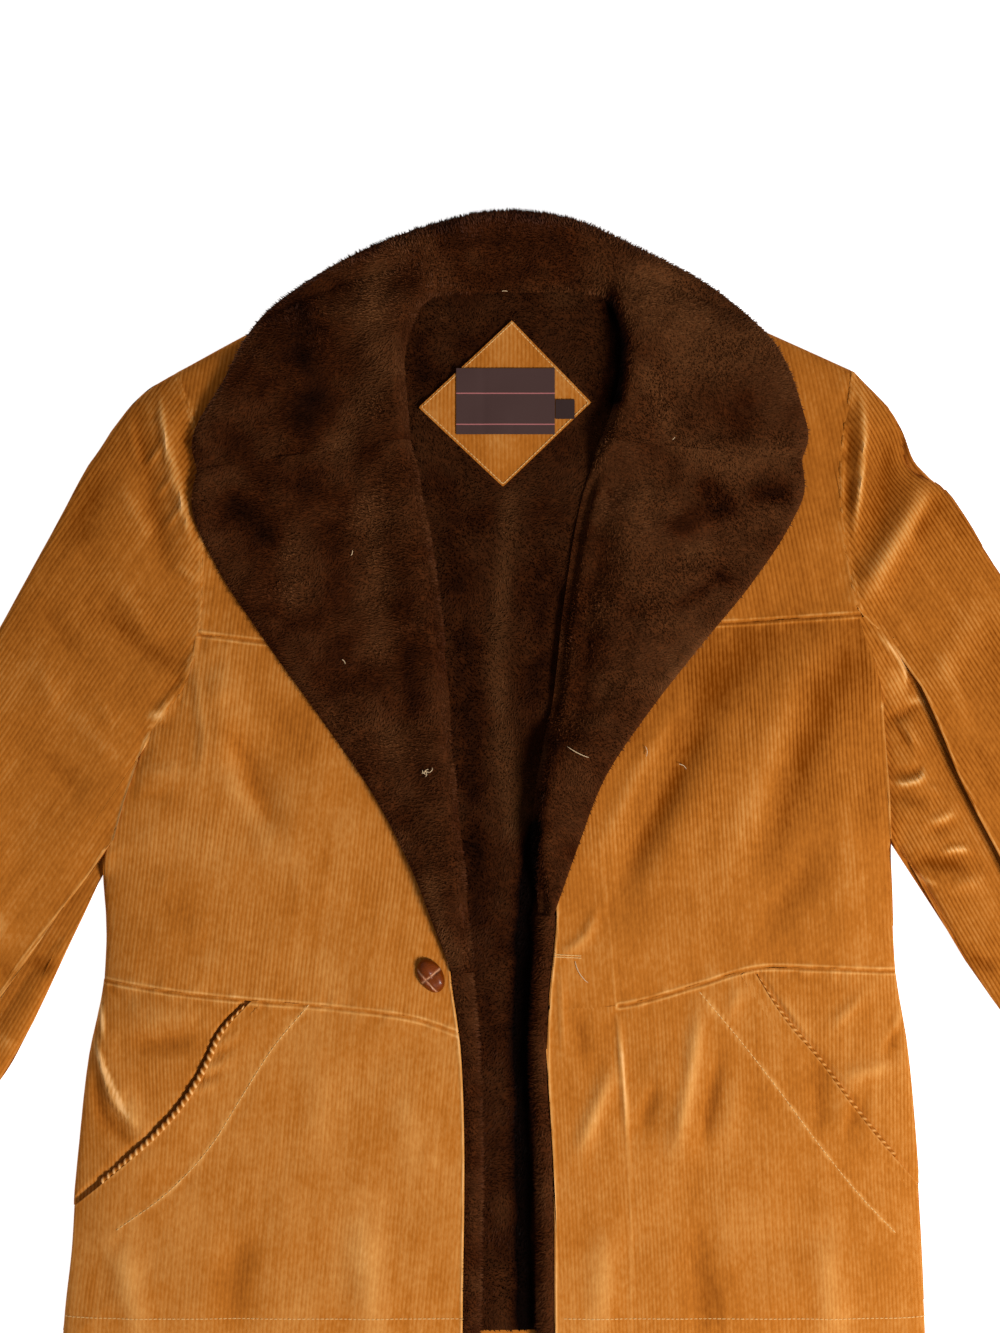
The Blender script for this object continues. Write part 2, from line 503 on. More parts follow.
# Patches of the pile. Columns: how much paler, reach to each side, points along it
PATCHES = [
    (-1.03, 6, [(84, 374), (91, 346), (92, 318), (88, 296)]),
    (-1.03, 7, [(24, -40), (16, -110), (12, -200), (14, -289), (17, -445)]),
    # collar
    (-0.52, 16, [(-160, 372), (-150, 335), (-146, 300), (-150, 284)]),
    (-0.25, 12, [(-178, 345), (-165, 325)]),
    (0.57, 13, [(-98, 392), (-104, 350), (-92, 318), (-108, 288), (-128, 256)]),
    (0.28, 10, [(-214, 335), (-236, 275)]),
    (-0.24, 10, [(-206, 262), (-194, 244)]),
    (-0.34, 12, [(-42, 425), (-14, 420)]),
    (-0.31, 10, [(26, 432), (44, 422)]),
    (0.28, 12, [(-92, 408), (-62, 416)]),
    (1.20, 20, [(112, 384), (142, 352), (150, 338)]),
    (0.57, 18, [(170, 330), (205, 345)]),
    (0.51, 8, [(112, 316), (124, 286), (134, 262)]),
    (0.63, 9, [(150, 254), (178, 248), (214, 252)]),
    (-0.31, 12, [(192, 296), (182, 272)]),
    # lapels
    (-0.72, 10, [(158, 228), (172, 214), (150, 206), (136, 196)]),
    (-0.69, 7, [(196, 222), (216, 222)]),
    (0.40, 12, [(108, 222), (100, 190)]),
    (0.68, 8, [(146, 176), (156, 180)]),
    (-0.60, 7, [(168, 158), (154, 148), (138, 138)]),
    (0.46, 9, [(160, 108), (124, 72)]),
    (-0.25, 12, [(58, 135), (66, 62)]),
    (-0.48, 12, [(-206, 214), (-180, 192)]),
    (-0.21, 10, [(-150, 228), (-122, 218)]),
    (0.46, 11, [(-166, 184), (-160, 142)]),
    (-0.21, 10, [(-128, 165), (-130, 128)]),
    (0.46, 13, [(-104, 216), (-100, 160), (-94, 106)]),
    (-0.28, 9, [(-74, 104), (-68, 56)]),
    (0.40, 12, [(-86, 36), (-76, -6)]),
    (0.57, 8, [(-56, -80), (-42, -140)]),
    # lining
    (0.85, 8, [(6, 220), (0, 160), (-6, 90), (0, 30), (8, -40)]),
    (-0.28, 10, [(-44, 230), (-34, 140), (-26, 60), (-24, -20), (-14, -110)]),
    (-0.21, 9, [(30, 215), (30, 110), (26, 45)]),
    (0.34, 8, [(52, 380), (36, 378)]),
    (-0.34, 10, [(-66, 345), (-62, 315)]),
    (-0.56, 4.5, [(42, 30), (31, -10), (24, -45), (19, -95), (18, -200), (18, -290), (18, -440)]),
]

# Grids
PILE_COLUMNS = 44
FLOOR_COLUMNS, FLOOR_ROWS, NIP_ROWS = 61, 25, 85
CLOUD_GRID = 61  # size of the table behind the random fields
EVEN = np.linspace(0, 1, 41)

# Sewing, label, button and threads
TAB_SHADE = 0.5  # the size tab is darker than the label
HEM_STITCHES = 25.0  # height of the hem's stitched line over the hem
HEM_END = 1.8  # where that line ends, as a share of the roll's distance from the centre
PATCH_STITCHES = 0.965  # size of the neck patch's stitched line, as a share of the patch
BUTTONHOLE_HALF = 0.9  # half the distance between the buttonhole's two stitched edges
PATCH_SEWING = {"Pitch": 0.003, "Thread Width": 0.0011}
BUTTONHOLE_SEWING = {"Pitch": 0.0012, "Stitch Length": 0.0022}
BUTTON_ROUND = 0.62 * math.pi  # how far the button's dome curves from its top to its foot
BUTTON_GROOVE, BUTTON_RUBBED = 0.07, 0.05  # widths of the grooves and pale lines, shares of its half size
BUTTON_GROOVE_DEPTH = 1.1
THREAD_RADIUS = 0.32
THREAD_STEPS, THREAD_AROUND = 12, 5
ON_PILE, ON_CLOTH = 2.4, 0.6  # how far a thread lies over the pile's ground and the corduroy
PILE_HALF, PILE_LOWEST = 240.0, -100.0  # nearer the centre and higher than this, it is lifted as on pile
RAY_START = 0.2  # metres over the floor, above every piece

# Picture: the height of the photograph's frame, and where the camera stands over it
FRAME_HEIGHT = 1.0397
FRAME_CENTRE = (-0.0023, 0.0885)
FRAME_LEVEL = 0.015
CAMERA_HEIGHT = 2.0
SENSOR = 36.0
KEY_PLACE, KEY_SIZE = (1.4, -1.05, 1.95), 0.8
KEY_AIM = (0, 0.05, 0)
FLOOR_HALF, FLOOR_LEVEL = 4.0, -0.0005


def spline(knots, values, at):
    """Smooth line through values at knots, read at the given places."""
    values = np.asarray(values, float)
    steps = np.diff(knots)[:, None]
    slopes = np.diff(values, axis=0) / steps
    tangents = np.vstack([slopes[:1], slopes[-1:]])
    if len(knots) > 2:
        inner = (slopes[:-1] * steps[1:] + slopes[1:] * steps[:-1]) / (steps[:-1] + steps[1:])
        tangents = np.vstack([slopes[:1], inner, slopes[-1:]])
    at = np.asarray(at, float)
    flat = at.ravel()
    span = np.clip(np.searchsorted(knots, flat, side="right") - 1, 0, len(knots) - 2)
    width = steps[span]
    t = (flat - knots[span])[:, None] / width
    start = (1 + 2 * t) * (1 - t) ** 2 * values[span] + t * (1 - t) ** 2 * width * tangents[span]
    end = t * t * (3 - 2 * t) * values[span + 1] + t * t * (t - 1) * width * tangents[span + 1]
    return (start + end).reshape(at.shape + (values.shape[1],))


def steps_of(line):
    """Length of each straight step of a line."""
    return np.linalg.norm(np.diff(np.asarray(line, float), axis=0), axis=1)


def shares_along(points):
    """Share of the whole length at each point of a line."""
    lengths = steps_of(points)
    return np.concatenate([[0.0], np.cumsum(lengths)]) / lengths.sum()


def curve(points, at=EVEN):
    """Points of the smooth line through a few points, at shares of its length."""
    return spline(shares_along(points), points, at)


def curve_by_height(points, y):
    """x of a line that runs up or down, at the given y."""
    dense = curve(points, np.linspace(0, 1, 400))
    order = np.argsort(dense[:, 1])
    return np.interp(y, dense[order, 1], dense[order, 0])


def smooth_step(t):
    t = np.clip(t, 0, 1)
    return t * t * (3 - 2 * t)


def round_up(t):
    """Quarter circle from 0 to 1."""
    return np.sqrt(1 - (1 - np.clip(t, 0, 1)) ** 2)


def hump(t):
    return np.exp(-t ** 2)


def distance(line, x, y):
    """Distance from points to a line of straight steps."""
    nearest = np.full(np.shape(x), np.inf)
    for (ax, ay), (bx, by) in zip(line[:-1], line[1:]):
        length = (bx - ax) ** 2 + (by - ay) ** 2
        t = np.clip(((x - ax) * (bx - ax) + (y - ay) * (by - ay)) / length, 0, 1)
        nearest = np.minimum(nearest, np.hypot(x - ax - t * (bx - ax), y - ay - t * (by - ay)))
    return nearest


def cloud(x, y, size, seed):
    """Smooth random field from -1 to 1 with patches of about the given size."""
    grid = np.random.default_rng(seed).uniform(-1, 1, (CLOUD_GRID, CLOUD_GRID))
    u, v = np.broadcast_arrays(np.asarray(x) / size, np.asarray(y) / size)
    i, j = np.floor(u).astype(int), np.floor(v).astype(int)
    s, t = smooth_step(u - i), smooth_step(v - j)
    i, j = i % CLOUD_GRID, j % CLOUD_GRID
    k, m = (i + 1) % CLOUD_GRID, (j + 1) % CLOUD_GRID
    low = grid[i, j] * (1 - s) + grid[k, j] * s
    high = grid[i, m] * (1 - s) + grid[k, m] * s
    return low * (1 - t) + high * t


EDGES = [curve(table[side]) for table in (SHOULDER, SLEEVE_OUTER) for side in SIDES]
CONTACTS = []
for line, side in [(curve(table[side]), side) for table in (SIDE_SEAM, SLEEVE_INNER) for side in SIDES]:
    free = line[:, 1] < FREE_BELOW[side]
    EDGES.append(line[free])
    CONTACTS.append(line[~free])
EDGES += [np.array([SLEEVE_OUTER[side][-1], SLEEVE_INNER[side][-1]], float) for side in SIDES]
EDGES += [np.array([SIDE_SEAM[RIGHT][-1], SIDE_SEAM[LEFT][-1]], float)]
TOP_LINE = np.vstack([curve(line) for line in (SHOULDER[RIGHT], NECK[1:-1], SHOULDER[LEFT][::-1])])


def bumps(rows, x, y):
    """Sum of soft ridges and troughs, each fading at its ends."""
    total = np.zeros(np.shape(x))
    for ax, ay, bx, by, rise, reach in rows:
        length = math.hypot(bx - ax, by - ay)
        along = ((x - ax) * (bx - ax) + (y - ay) * (by - ay)) / length ** 2
        across = ((x - ax) * (by - ay) - (y - ay) * (bx - ax)) / length
        fade = smooth_step((along + 0.25) / 0.5) * smooth_step((1.25 - along) / 0.5)
        total += rise * hump(across / reach) * fade
    return total


def creased(rows, x, y):
    """Height of the creases, and how much lighter their crests look."""
    height, light = np.zeros(np.shape(x)), np.zeros(np.shape(x))
    for rise, reach, points in rows:
        line = curve(points, np.linspace(0, 1, 4 * len(points) - 3))
        (low_x, low_y), (high_x, high_y) = line.min(axis=0) - 3 * reach, line.max(axis=0) + 3 * reach
        near = (x > low_x) & (x < high_x) & (y > low_y) & (y < high_y)
        away = distance(line, x[near], y[near])
        from_ends = np.min([np.hypot(x[near] - px, y[near] - py) for px, py in (line[0], line[-1])], axis=0)
        whole = steps_of(line).sum()
        size = rise * smooth_step(0.25 + from_ends / (0.45 * whole))
        height[near] += size * hump(away / reach)
        light[near] += CREST_LIGHT * size * hump(away / reach / CREST_SHARE)
    return height, light


def layers(x, y):
    """Heights of the fronts' face and between the layers, the fullness, and the distance to the edge."""
    edge = np.min([distance(line, x, y) for line in EDGES], axis=0)
    beside = CONTACT_LIFT + np.min([distance(line, x, y) for line in CONTACTS], axis=0)
    edge = np.minimum(edge, beside)
    full = round_up(edge / EDGE_ROUNDING)
    change = smooth_step((np.abs(x) - LOFT_START) / LOFT_CHANGE)
    loft = (BODY_LOFT + (SLEEVE_LOFT - BODY_LOFT) * change) * full
    upper = EDGE_UPPER + loft + FOLD_DEPTH * bumps(FOLDS, x, y) * full
    return upper, EDGE_LOWER + LOWER_SHARE * loft, full, edge


def lining_face(x, y):
    return layers(x, y)[1] - LAYER_GAP / 2


def cloth_face(x, y, rows=CREASES):
    """Height of the creased corduroy, and how much lighter it looks."""
    upper, _, full, edge = layers(x, y)
    crease, light = creased(rows, x, y)
    wave = WAVE * (cloud(x, y, 48, 15) + 0.5 * cloud(x, y, 21, 16)) * full
    down = 1 - round_up(edge / EDGE_ROLL)
    light = light + creased(RUBBED, x, y)[0] + 0.1 * down
    return upper + crease * np.sqrt(full) + wave - EDGE_DROP * down, light


def over_front(x, y):
    """Underside of what lies on the fronts: clear of them, and level beyond the shoulder line."""
    upper, _, full, _ = layers(x, y)
    clear = LAYER_GAP + EDGE_CLEAR * (1 - full) + FOLD_CLEAR * np.abs(bumps(FOLDS, x, y) * full)
    beyond = y - np.interp(x, TOP_LINE[:, 0], TOP_LINE[:, 1])
    drop = smooth_step((beyond - DROP_START) / DROP_LENGTH)
    level = (EDGE_UPPER + LAYER_GAP + EDGE_CLEAR) * (1 - drop)
    return np.where(beyond > 0, level, upper + clear)


# Outlines of the panels

def between(points, low, high):
    """Part of a line that runs up or down, between two heights, written upwards."""
    y = np.linspace(low, high, 25)
    return np.column_stack([curve_by_height(points, y), y])


def facing_width(side, y):
    """Pile that shows past the corduroy's front edge."""
    return FACING_WIDTH + BREAK_SPREAD[side] * smooth_step((y - BREAK[side]) / SPREAD_FADE + 1)


def front_edge(side, low, high):
    """The corduroy's front edge between two heights, beside the facing."""
    line = between(ROLL[side], low, high)
    line[:, 0] += OUTWARDS[side] * facing_width(side, line[:, 1])
    return line


def underlapped(side, line):
    """A panel's edge moved out under the sleeve that lies over it."""
    covered = smooth_step((line[:, 1] - COVERED_ABOVE[side]) / OVERLAP_FADE)
    covered = covered * smooth_step((ARMHOLE[side][0][1] - line[:, 1]) / OVERLAP_FADE)
    return line + OUTWARDS[side] * UNDERLAP * covered[:, None] * [1, 0]


def yoke_outline(side):
    armhole = underlapped(side, between(ARMHOLE[side], YOKE_SEAM[side][0][1], SHOULDER[side][0][1]))
    neck = curve(YOKE_NECK[side])
    shoulder = [p for p in SHOULDER[side] if abs(p[0]) > abs(neck[-1, 0])] + [tuple(neck[-1])]
    return np.vstack([curve(YOKE_SEAM[side]), neck[1:], curve(shoulder)[::-1][1:], armhole[::-1][1:-1]])


def front_outline(side):
    waist = WAIST_SEAM[side]
    inner = front_edge(side, waist[-1][1], YOKE_SEAM[side][-1][1])
    waist_line = curve(waist[:-1] + [tuple(inner[0])])
    yoke_line = curve(YOKE_SEAM[side][:-1] + [tuple(inner[-1])])
    armhole = underlapped(side, between(ARMHOLE[side], SIDE_SEAM[side][0][1], YOKE_SEAM[side][0][1]))
    seam = underlapped(side, between(SIDE_SEAM[side], waist[0][1], SIDE_SEAM[side][0][1]))
    return np.vstack([waist_line, inner[1:], yoke_line[::-1][1:], armhole[::-1][1:], seam[::-1][1:-1]])


def waist_cut(side):
    """The waist seam's parts to the side and to the front of the pocket mouth."""
    top = POCKET_MOUTH[side][0]
    to_side = [p for p in WAIST_SEAM[side] if abs(p[0]) > abs(top[0])]
    to_front = [p for p in WAIST_SEAM[side] if abs(p[0]) <= abs(top[0])]
    return to_side + [top], to_front


def skirt_front_outline(side):
    mouth = curve(POCKET_MOUTH[side])
    inner = front_edge(side, HEM, WAIST_SEAM[side][-1][1])
    waist = curve(waist_cut(side)[1][:-1] + [tuple(inner[-1])])
    return np.vstack([[SIDE_SEAM[side][-1]], mouth[::-1], waist[1:] + [0, WAIST_TUCK], inner[::-1][1:]])


def skirt_side_outline(side):
    """Runs in under the pocket mouth."""
    mouth = curve(POCKET_MOUTH[side])
    under = mouth - [OUTWARDS[side] * POCKET_UNDERLAP, 0]
    waist = curve(waist_cut(side)[0])
    seam = between(SIDE_SEAM[side], POCKET_MOUTH[side][-1][1], WAIST_SEAM[side][0][1])
    return np.vstack([waist + [0, WAIST_TUCK], under[1:-1], seam[:-1]])


def sleeve_lines(side):
    """Outer edge, front sleeve seam and inner edge of a sleeve, from shoulder tip to cuff."""
    at = np.linspace(0, 1, 81)
    outer = curve(SLEEVE_OUTER[side], at)
    inner = curve(ARMHOLE[side][:-1] + SLEEVE_INNER[side], at)
    share, shown = np.array(UNDER_WIDTH[side], float).T
    width = np.linalg.norm(inner - outer, axis=1)
    strip = np.minimum(np.interp(np.linspace(0, 1, 81), share, shown), width / 2)
    seam = inner + (outer - inner) * (strip / np.maximum(width, 1))[:, None]
    return outer, seam, inner, strip


def inset(outline, amount):
    """An outline moved inwards by an even distance."""
    ahead = np.roll(outline, -1, axis=0) - np.roll(outline, 1, axis=0)
    normal = np.column_stack([-ahead[:, 1], ahead[:, 0]])
    normal /= np.linalg.norm(normal, axis=1, keepdims=True) + 1e-9
    x, y = outline.T
    turning = np.sign(np.sum(x * np.roll(y, -1) - np.roll(x, -1) * y))
    return outline + normal * amount * turning


def back_outline():
    left = np.vstack([curve(SIDE_SEAM[RIGHT])[::-1], curve(ARMHOLE[RIGHT])[::-1][1:]])
    right = np.vstack([curve(SIDE_SEAM[LEFT])[::-1], curve(ARMHOLE[LEFT])[::-1][1:]])
    top = np.vstack([curve(SHOULDER[RIGHT]), curve(NECK)[1:-1], curve(SHOULDER[LEFT])[::-1]])
    return np.vstack([left, top[1:-1], right[::-1]])


# Meshes

def xyz(x, y, z):
    """Points from their coordinates, each an array or one number."""
    return np.stack(np.broadcast_arrays(x, y, z), axis=-1)


def quads(grid):
    corners = (grid[:-1, :-1], grid[:-1, 1:], grid[1:, 1:], grid[1:, :-1])
    return np.stack(corners, axis=-1).reshape(-1, 4)


def coarse_columns(columns, step):
    """Every step-th column, and the last."""
    return np.unique(np.append(np.arange(0, columns, step), columns - 1))


def shell_faces(rows, columns, step):
    """Closed shell: a fine upper grid, a lower grid with its coarse columns, and the rim."""
    up = np.arange(rows * columns).reshape(rows, columns)
    kept = coarse_columns(columns, step)
    down = rows * columns + np.arange(rows * len(kept)).reshape(rows, len(kept))
    faces = quads(up).tolist() + quads(down)[:, ::-1].tolist()
    faces += np.stack([up[:-1, 0], up[1:, 0], down[1:, 0], down[:-1, 0]], axis=1).tolist()
    faces += np.stack([up[1:, -1], up[:-1, -1], down[:-1, -1], down[1:, -1]], axis=1).tolist()
    for k, span in enumerate(slice(a, b + 1) for a, b in zip(kept[:-1], kept[1:])):
        faces.append([down[0, k], down[0, k + 1], *up[0, span][::-1]])
        faces.append([down[-1, k + 1], down[-1, k], *up[-1, span]])
    return faces


def tube_faces(rings, around, turned_over):
    """Sides and end caps of a tube, whose rings follow each other."""
    index = np.arange(rings * around).reshape(rings, around)
    ahead = np.roll(index, -1, axis=1)
    faces = np.stack([index[:-1], ahead[:-1], ahead[1:], index[1:]], axis=-1).reshape(-1, 4).tolist()
    faces += [index[0][::-1].tolist(), index[-1].tolist()]
    return [face[::-1] for face in faces] if turned_over else faces


def surfaces(pieces):
    graph = bpy.context.evaluated_depsgraph_get()
    return [BVHTree.FromObject(piece, graph) for piece in pieces]


def heights_at(trees, x, y):
    """Heights, in metres, at which a ray straight down meets each surface."""
    hits = [tree.ray_cast(Vector((x, y, RAY_START)), Vector((0, 0, -1)))[0] for tree in trees]
    return [hit.z for hit in hits if hit is not None]


def linked(name, data):
    """A new object in the scene."""
    made = bpy.data.objects.new(name, data)
    bpy.context.scene.collection.objects.link(made)
    return made


def add_piece(name, points, faces, material, **attributes):
    """A smooth mesh piece; attributes are numbers or vectors for each point."""
    mesh = bpy.data.meshes.new(name)
    mesh.from_pydata((np.asarray(points) * MM).tolist(), [], faces)
    for key, values in attributes.items():
        values = np.asarray(values, np.float32)
        kind = "FLOAT_VECTOR" if values.ndim == 2 else "FLOAT"
        field = "vector" if values.ndim == 2 else "value"
        mesh.attributes.new(key, kind, "POINT").data.foreach_set(field, values.ravel())
    mesh.shade_smooth()
    mesh.set_sharp_from_angle(angle=SHARP_ANGLE)
    mesh.materials.append(material)
    return linked(name, mesh)


def inside_span(flat, columns, neck=0.0):
    """Where each column enters and last leaves an outline; within the neck's half width, first leaves it."""
    across, along = flat.T
    next_across, next_along = np.roll(flat, -1, axis=0).T
    span = np.empty((2, len(columns)))
    for k, column in enumerate(columns):
        cut = (across <= column) != (next_across <= column)
        t = (column - across[cut]) / (next_across[cut] - across[cut])
        at = np.sort(along[cut] + t * (next_along[cut] - along[cut]))
        span[:, k] = at[0], at[1] if abs(column) < neck else at[-1]
    return span


def cut_across(flat, level):
    """The two parts of an outline above and below a level along its grain."""
    parts = []
    for above in (True, False):
        part = []
        for here, ahead in zip(flat, np.roll(flat, -1, axis=0)):
            if (here[1] >= level) == above:
                part.append(here)
            if (here[1] >= level) != (ahead[1] >= level):
                part.append(here + (ahead - here) * (level - here[1]) / (ahead[1] - here[1]))
        parts.append(np.array(part))
    return parts


def turned(points, angle):
    """Points in a frame whose second axis leans by the angle from +Y."""
    cos, sin = math.cos(angle), math.sin(angle)
    points = np.asarray(points, float)
    return np.stack([points[..., 0] * cos + points[..., 1] * sin,
                     points[..., 1] * cos - points[..., 0] * sin], axis=-1)


def nipped(across, along, lean, nip):
    """Columns pulled in at a nip in the far edge."""
    place, depth, along_reach, across_reach = nip
    edge, at = turned(place, lean)
    pull = hump((along - at) / along_reach) * smooth_step(1 - (edge - across) / across_reach)
    return across - depth * pull


def rows_along(bottom, top, step):
    """Rows of a panel along its columns, close together at both ends."""
    ends = np.array(END_ROWS)[:, None]
    ends = ends * np.minimum(1, (top - bottom) / (3 * END_ROWS[-1]))
    low, high = bottom + ends, top - ends[::-1]
    steps = max(2, math.ceil((high[0] - low[-1]).max() / step))
    share = np.linspace(0, 1, steps + 1)[1:-1, None]
    return np.vstack([low, low[-1] + (high[0] - low[-1]) * share, high])


def ribbed(name, outline, face, sizes, seed, seams=(), thickness=CLOTH, neck=0.0, nip=None, hollow=None,
           step=ROW_STEP):
    """Points, faces and attributes of a corduroy panel with its ribs along its grain.

    A panel whose edge is hollow is made in two, above and below the hollow's deepest point.
    """
    lean, stretch, *shades = GRAIN[name]
    lean = math.radians(lean)
    flat = turned(outline, lean)
    low, high = flat[:, 0].min() + EDGE_SLIVER, flat[:, 0].max() - EDGE_SLIVER
    per_rib = len(RIB_STEPS)
    ribs = max(2, round((high - low) * MM / (sizes.wale_pitch * stretch)))
    columns = np.linspace(low, high, per_rib * ribs + 1)
    chance = np.random.default_rng(seed)
    rib = np.tile(RIB_STEPS, ribs + 1)[:len(columns)]
    rib_size = np.repeat(chance.uniform(*RIB_SIZES, ribs + 1), per_rib)[:len(columns)]
    rib_light = np.repeat(chance.uniform(-1, 1, ribs + 1), per_rib)[:len(columns)]
    lowest, height = outline[:, 1].min(), np.ptp(outline[:, 1])

    def part(chosen, bottom, top):
        """The panel between the ends of some of its columns."""
        across, along = columns[None, chosen], rows_along(bottom, top, step)
        share = (along - bottom) / (top - bottom)
        plan_across = across + SWAY * 4 * share * (1 - share) * cloud(across, along, 95, seed)
        plan = turned(np.stack([plan_across, along], axis=-1), -lean)
        z, light = face(plan[..., 0], plan[..., 1])
        if nip is not None:
            plan = turned(np.stack([nipped(plan_across, along, lean, nip), along], axis=-1), -lean)
        x, y = plan[..., 0], plan[..., 1]
        up = smooth_step((y - lowest) / height)
        contrast, level = (shades[k + 1] + (shades[k] - shades[k + 1]) * up for k in (0, 2))
        press = np.ones(z.shape)
        for line, (drop, rise, place, lighter, darker, puckers) in seams:
            away = distance(line, x, y)
            ridge = hump((away - place) / RIDGE_WIDTH)
            groove = hump(away / SEAM_WIDTH)
            pucker = puckers * cloud(x, y, 6, seed + 4) * hump(away / PUCKER_REACH)
            z = z - drop * groove + rise * ridge + pucker
            rubbed = RUBBED_EVEN + RUBBED_UNEVEN * cloud(x, y, 7, seed + 2)
            light = light + lighter * ridge * rubbed - darker * groove + PUCKER_SHADE * pucker
            press = np.minimum(press, smooth_step(away / (2 * place)))
        patchy = contrast * (1 + 0.4 * cloud(x, y, 40, seed + 6) + 0.3 * cloud(x, y, 16, seed + 7))
        patchy = np.clip(patchy * (PRESSED + (1 - PRESSED) * press), 0, 1.5)
        raised = RIB_KEPT + (1 - RIB_KEPT) * patchy
        upper = z + sizes.wale_rise / MM * rib[chosen] * rib_size[chosen] * raised
        streaks = cloud(across * 4, along, 26, seed + 1) + 0.7 * cloud(across * 2, along, 11, seed + 3)
        light = level + light + RIB_LIGHT * patchy * (rib[chosen] - RIB_MIDDLE)
        light = light + RIB_SHADE * rib_light[chosen] + STREAK_SHADE * streaks
        kept = coarse_columns(len(chosen), per_rib)
        fine = xyz(x, y, upper).reshape(-1, 3)
        coarse = xyz(x[:, kept], y[:, kept], z[:, kept] - thickness).reshape(-1, 3)
        light = np.concatenate([light.ravel(), level[:, kept].ravel()])
        return np.vstack([fine, coarse]), shell_faces(*z.shape, per_rib), {"light": light}

    parts = []
    for half in [flat] if hollow is None else cut_across(flat, turned(hollow, lean)[1]):
        within = (columns > half[:, 0].min()) & (columns < half[:, 0].max())
        first = np.argmax(within)
        bottom, top = inside_span(half, columns[within], neck)
        jumps = np.nonzero(np.maximum(np.abs(np.diff(bottom)), np.abs(np.diff(top))) > JUMP)[0]
        for start, end in zip([0, *jumps], [*jumps, within.sum() - 1]):
            chosen = np.arange(start, end + 1)
            if len(chosen) > 1:
                ends = np.where(chosen == start, start + 1, chosen) if start else chosen
                parts.append(part(first + chosen, bottom[ends], top[ends]))
    return joined_meshes(*parts)


def floor_layer(name, outline, nip=None):
    """Plain cloth flat on the floor, in columns along its panel's grain and none past a nip."""
    lean = math.radians(GRAIN[name][0])
    flat = turned(outline, lean)
    columns = np.linspace(flat[:, 0].min() + EDGE_SLIVER, flat[:, 0].max() - EDGE_SLIVER, FLOOR_COLUMNS)
    bottom, top = inside_span(flat, columns)
    if nip is not None:
        jumps = np.nonzero(np.abs(np.diff(top)) > JUMP)[0]
        past_nip = jumps[jumps > FLOOR_COLUMNS / 2][0] + 1
        columns, bottom, top = columns[:past_nip], bottom[:past_nip], top[:past_nip]
    rows = FLOOR_ROWS if nip is None else NIP_ROWS
    along = bottom + (top - bottom) * np.linspace(0, 1, rows)[:, None]
    across = np.broadcast_to(columns, along.shape)
    across = across if nip is None else nipped(across, along, lean, nip)
    plan = turned(np.stack([across, along], axis=-1), -lean).reshape(-1, 2)
    upper, lower = (xyz(*plan.T, z) for z in (BACK_CLOTH, 0.0))
    light = np.full(2 * len(plan), GRAIN[name][-1])
    return np.vstack([upper, lower]), shell_faces(rows, len(columns), 1), {"light": light}


def joined_meshes(*parts):
    """Several (points, faces, attributes) as one."""
    points, faces, attributes = [], [], {}
    for some_points, some_faces, some_attributes in parts:
        start = sum(len(p) for p in points)
        faces += [[start + index for index in face] for face in some_faces]
        points.append(some_points)
        for key, values in some_attributes.items():
            attributes.setdefault(key, []).append(values)
    return np.vstack(points), faces, {key: np.concatenate(values) for key, values in attributes.items()}


def grid_normals(points):
    normal = np.cross(np.gradient(points, axis=1), np.gradient(points, axis=0))
    normal /= np.linalg.norm(normal, axis=-1, keepdims=True) + 1e-9
    return normal * np.sign(normal[..., 2].mean())


def fluff(x, y, seed):
    """Clumps of the pile, in three sizes."""
    return sum(rise * cloud(x, y, size, seed + k) for k, (rise, size) in enumerate(CLUMPS))


def brushed(x, y, seed):
    """How pale the pile looks: in the patches seen, and unevenly between them."""
    pale = BRUSHED + TO_LIGHT * smooth_step(x / TO_LIGHT_REACH)
    for amount, size, number in PALE_CLOUDS:
        pale = pale + amount * cloud(x, y, size, seed + number)
    for amount, reach, points in PATCHES:
        pale = pale + amount * hump(distance(points, x, y) / reach)
    return pale


def pile_shell(over, under, lean, seed, grow=1.0):
    """Points, faces and attributes of a pile wall; lean is the way its hair lies at each point."""
    rows, columns = over.shape[:2]
    x, y = over[..., 0], over[..., 1]
    swirl = xyz(cloud(x, y, 24, seed + 5), cloud(x, y, 24, seed + 6), 0)
    lay = HAIR_STAND * grid_normals(over) + lean + HAIR_SWIRL * swirl
    flat_lay = np.concatenate([lay.reshape(-1, 3), np.tile([0.0, 0.0, 1.0], (rows * columns, 1))])
    growth = np.concatenate([np.broadcast_to(grow, (rows, columns)).ravel(), np.zeros(rows * columns)])
    points = np.vstack([over.reshape(-1, 3), under.reshape(-1, 3)])
    pale = np.concatenate([brushed(x, y, seed).ravel(), np.zeros(rows * columns)])
    return points, shell_faces(rows, columns, 1), {"grow": growth, "lay": flat_lay, "brushed": pale}


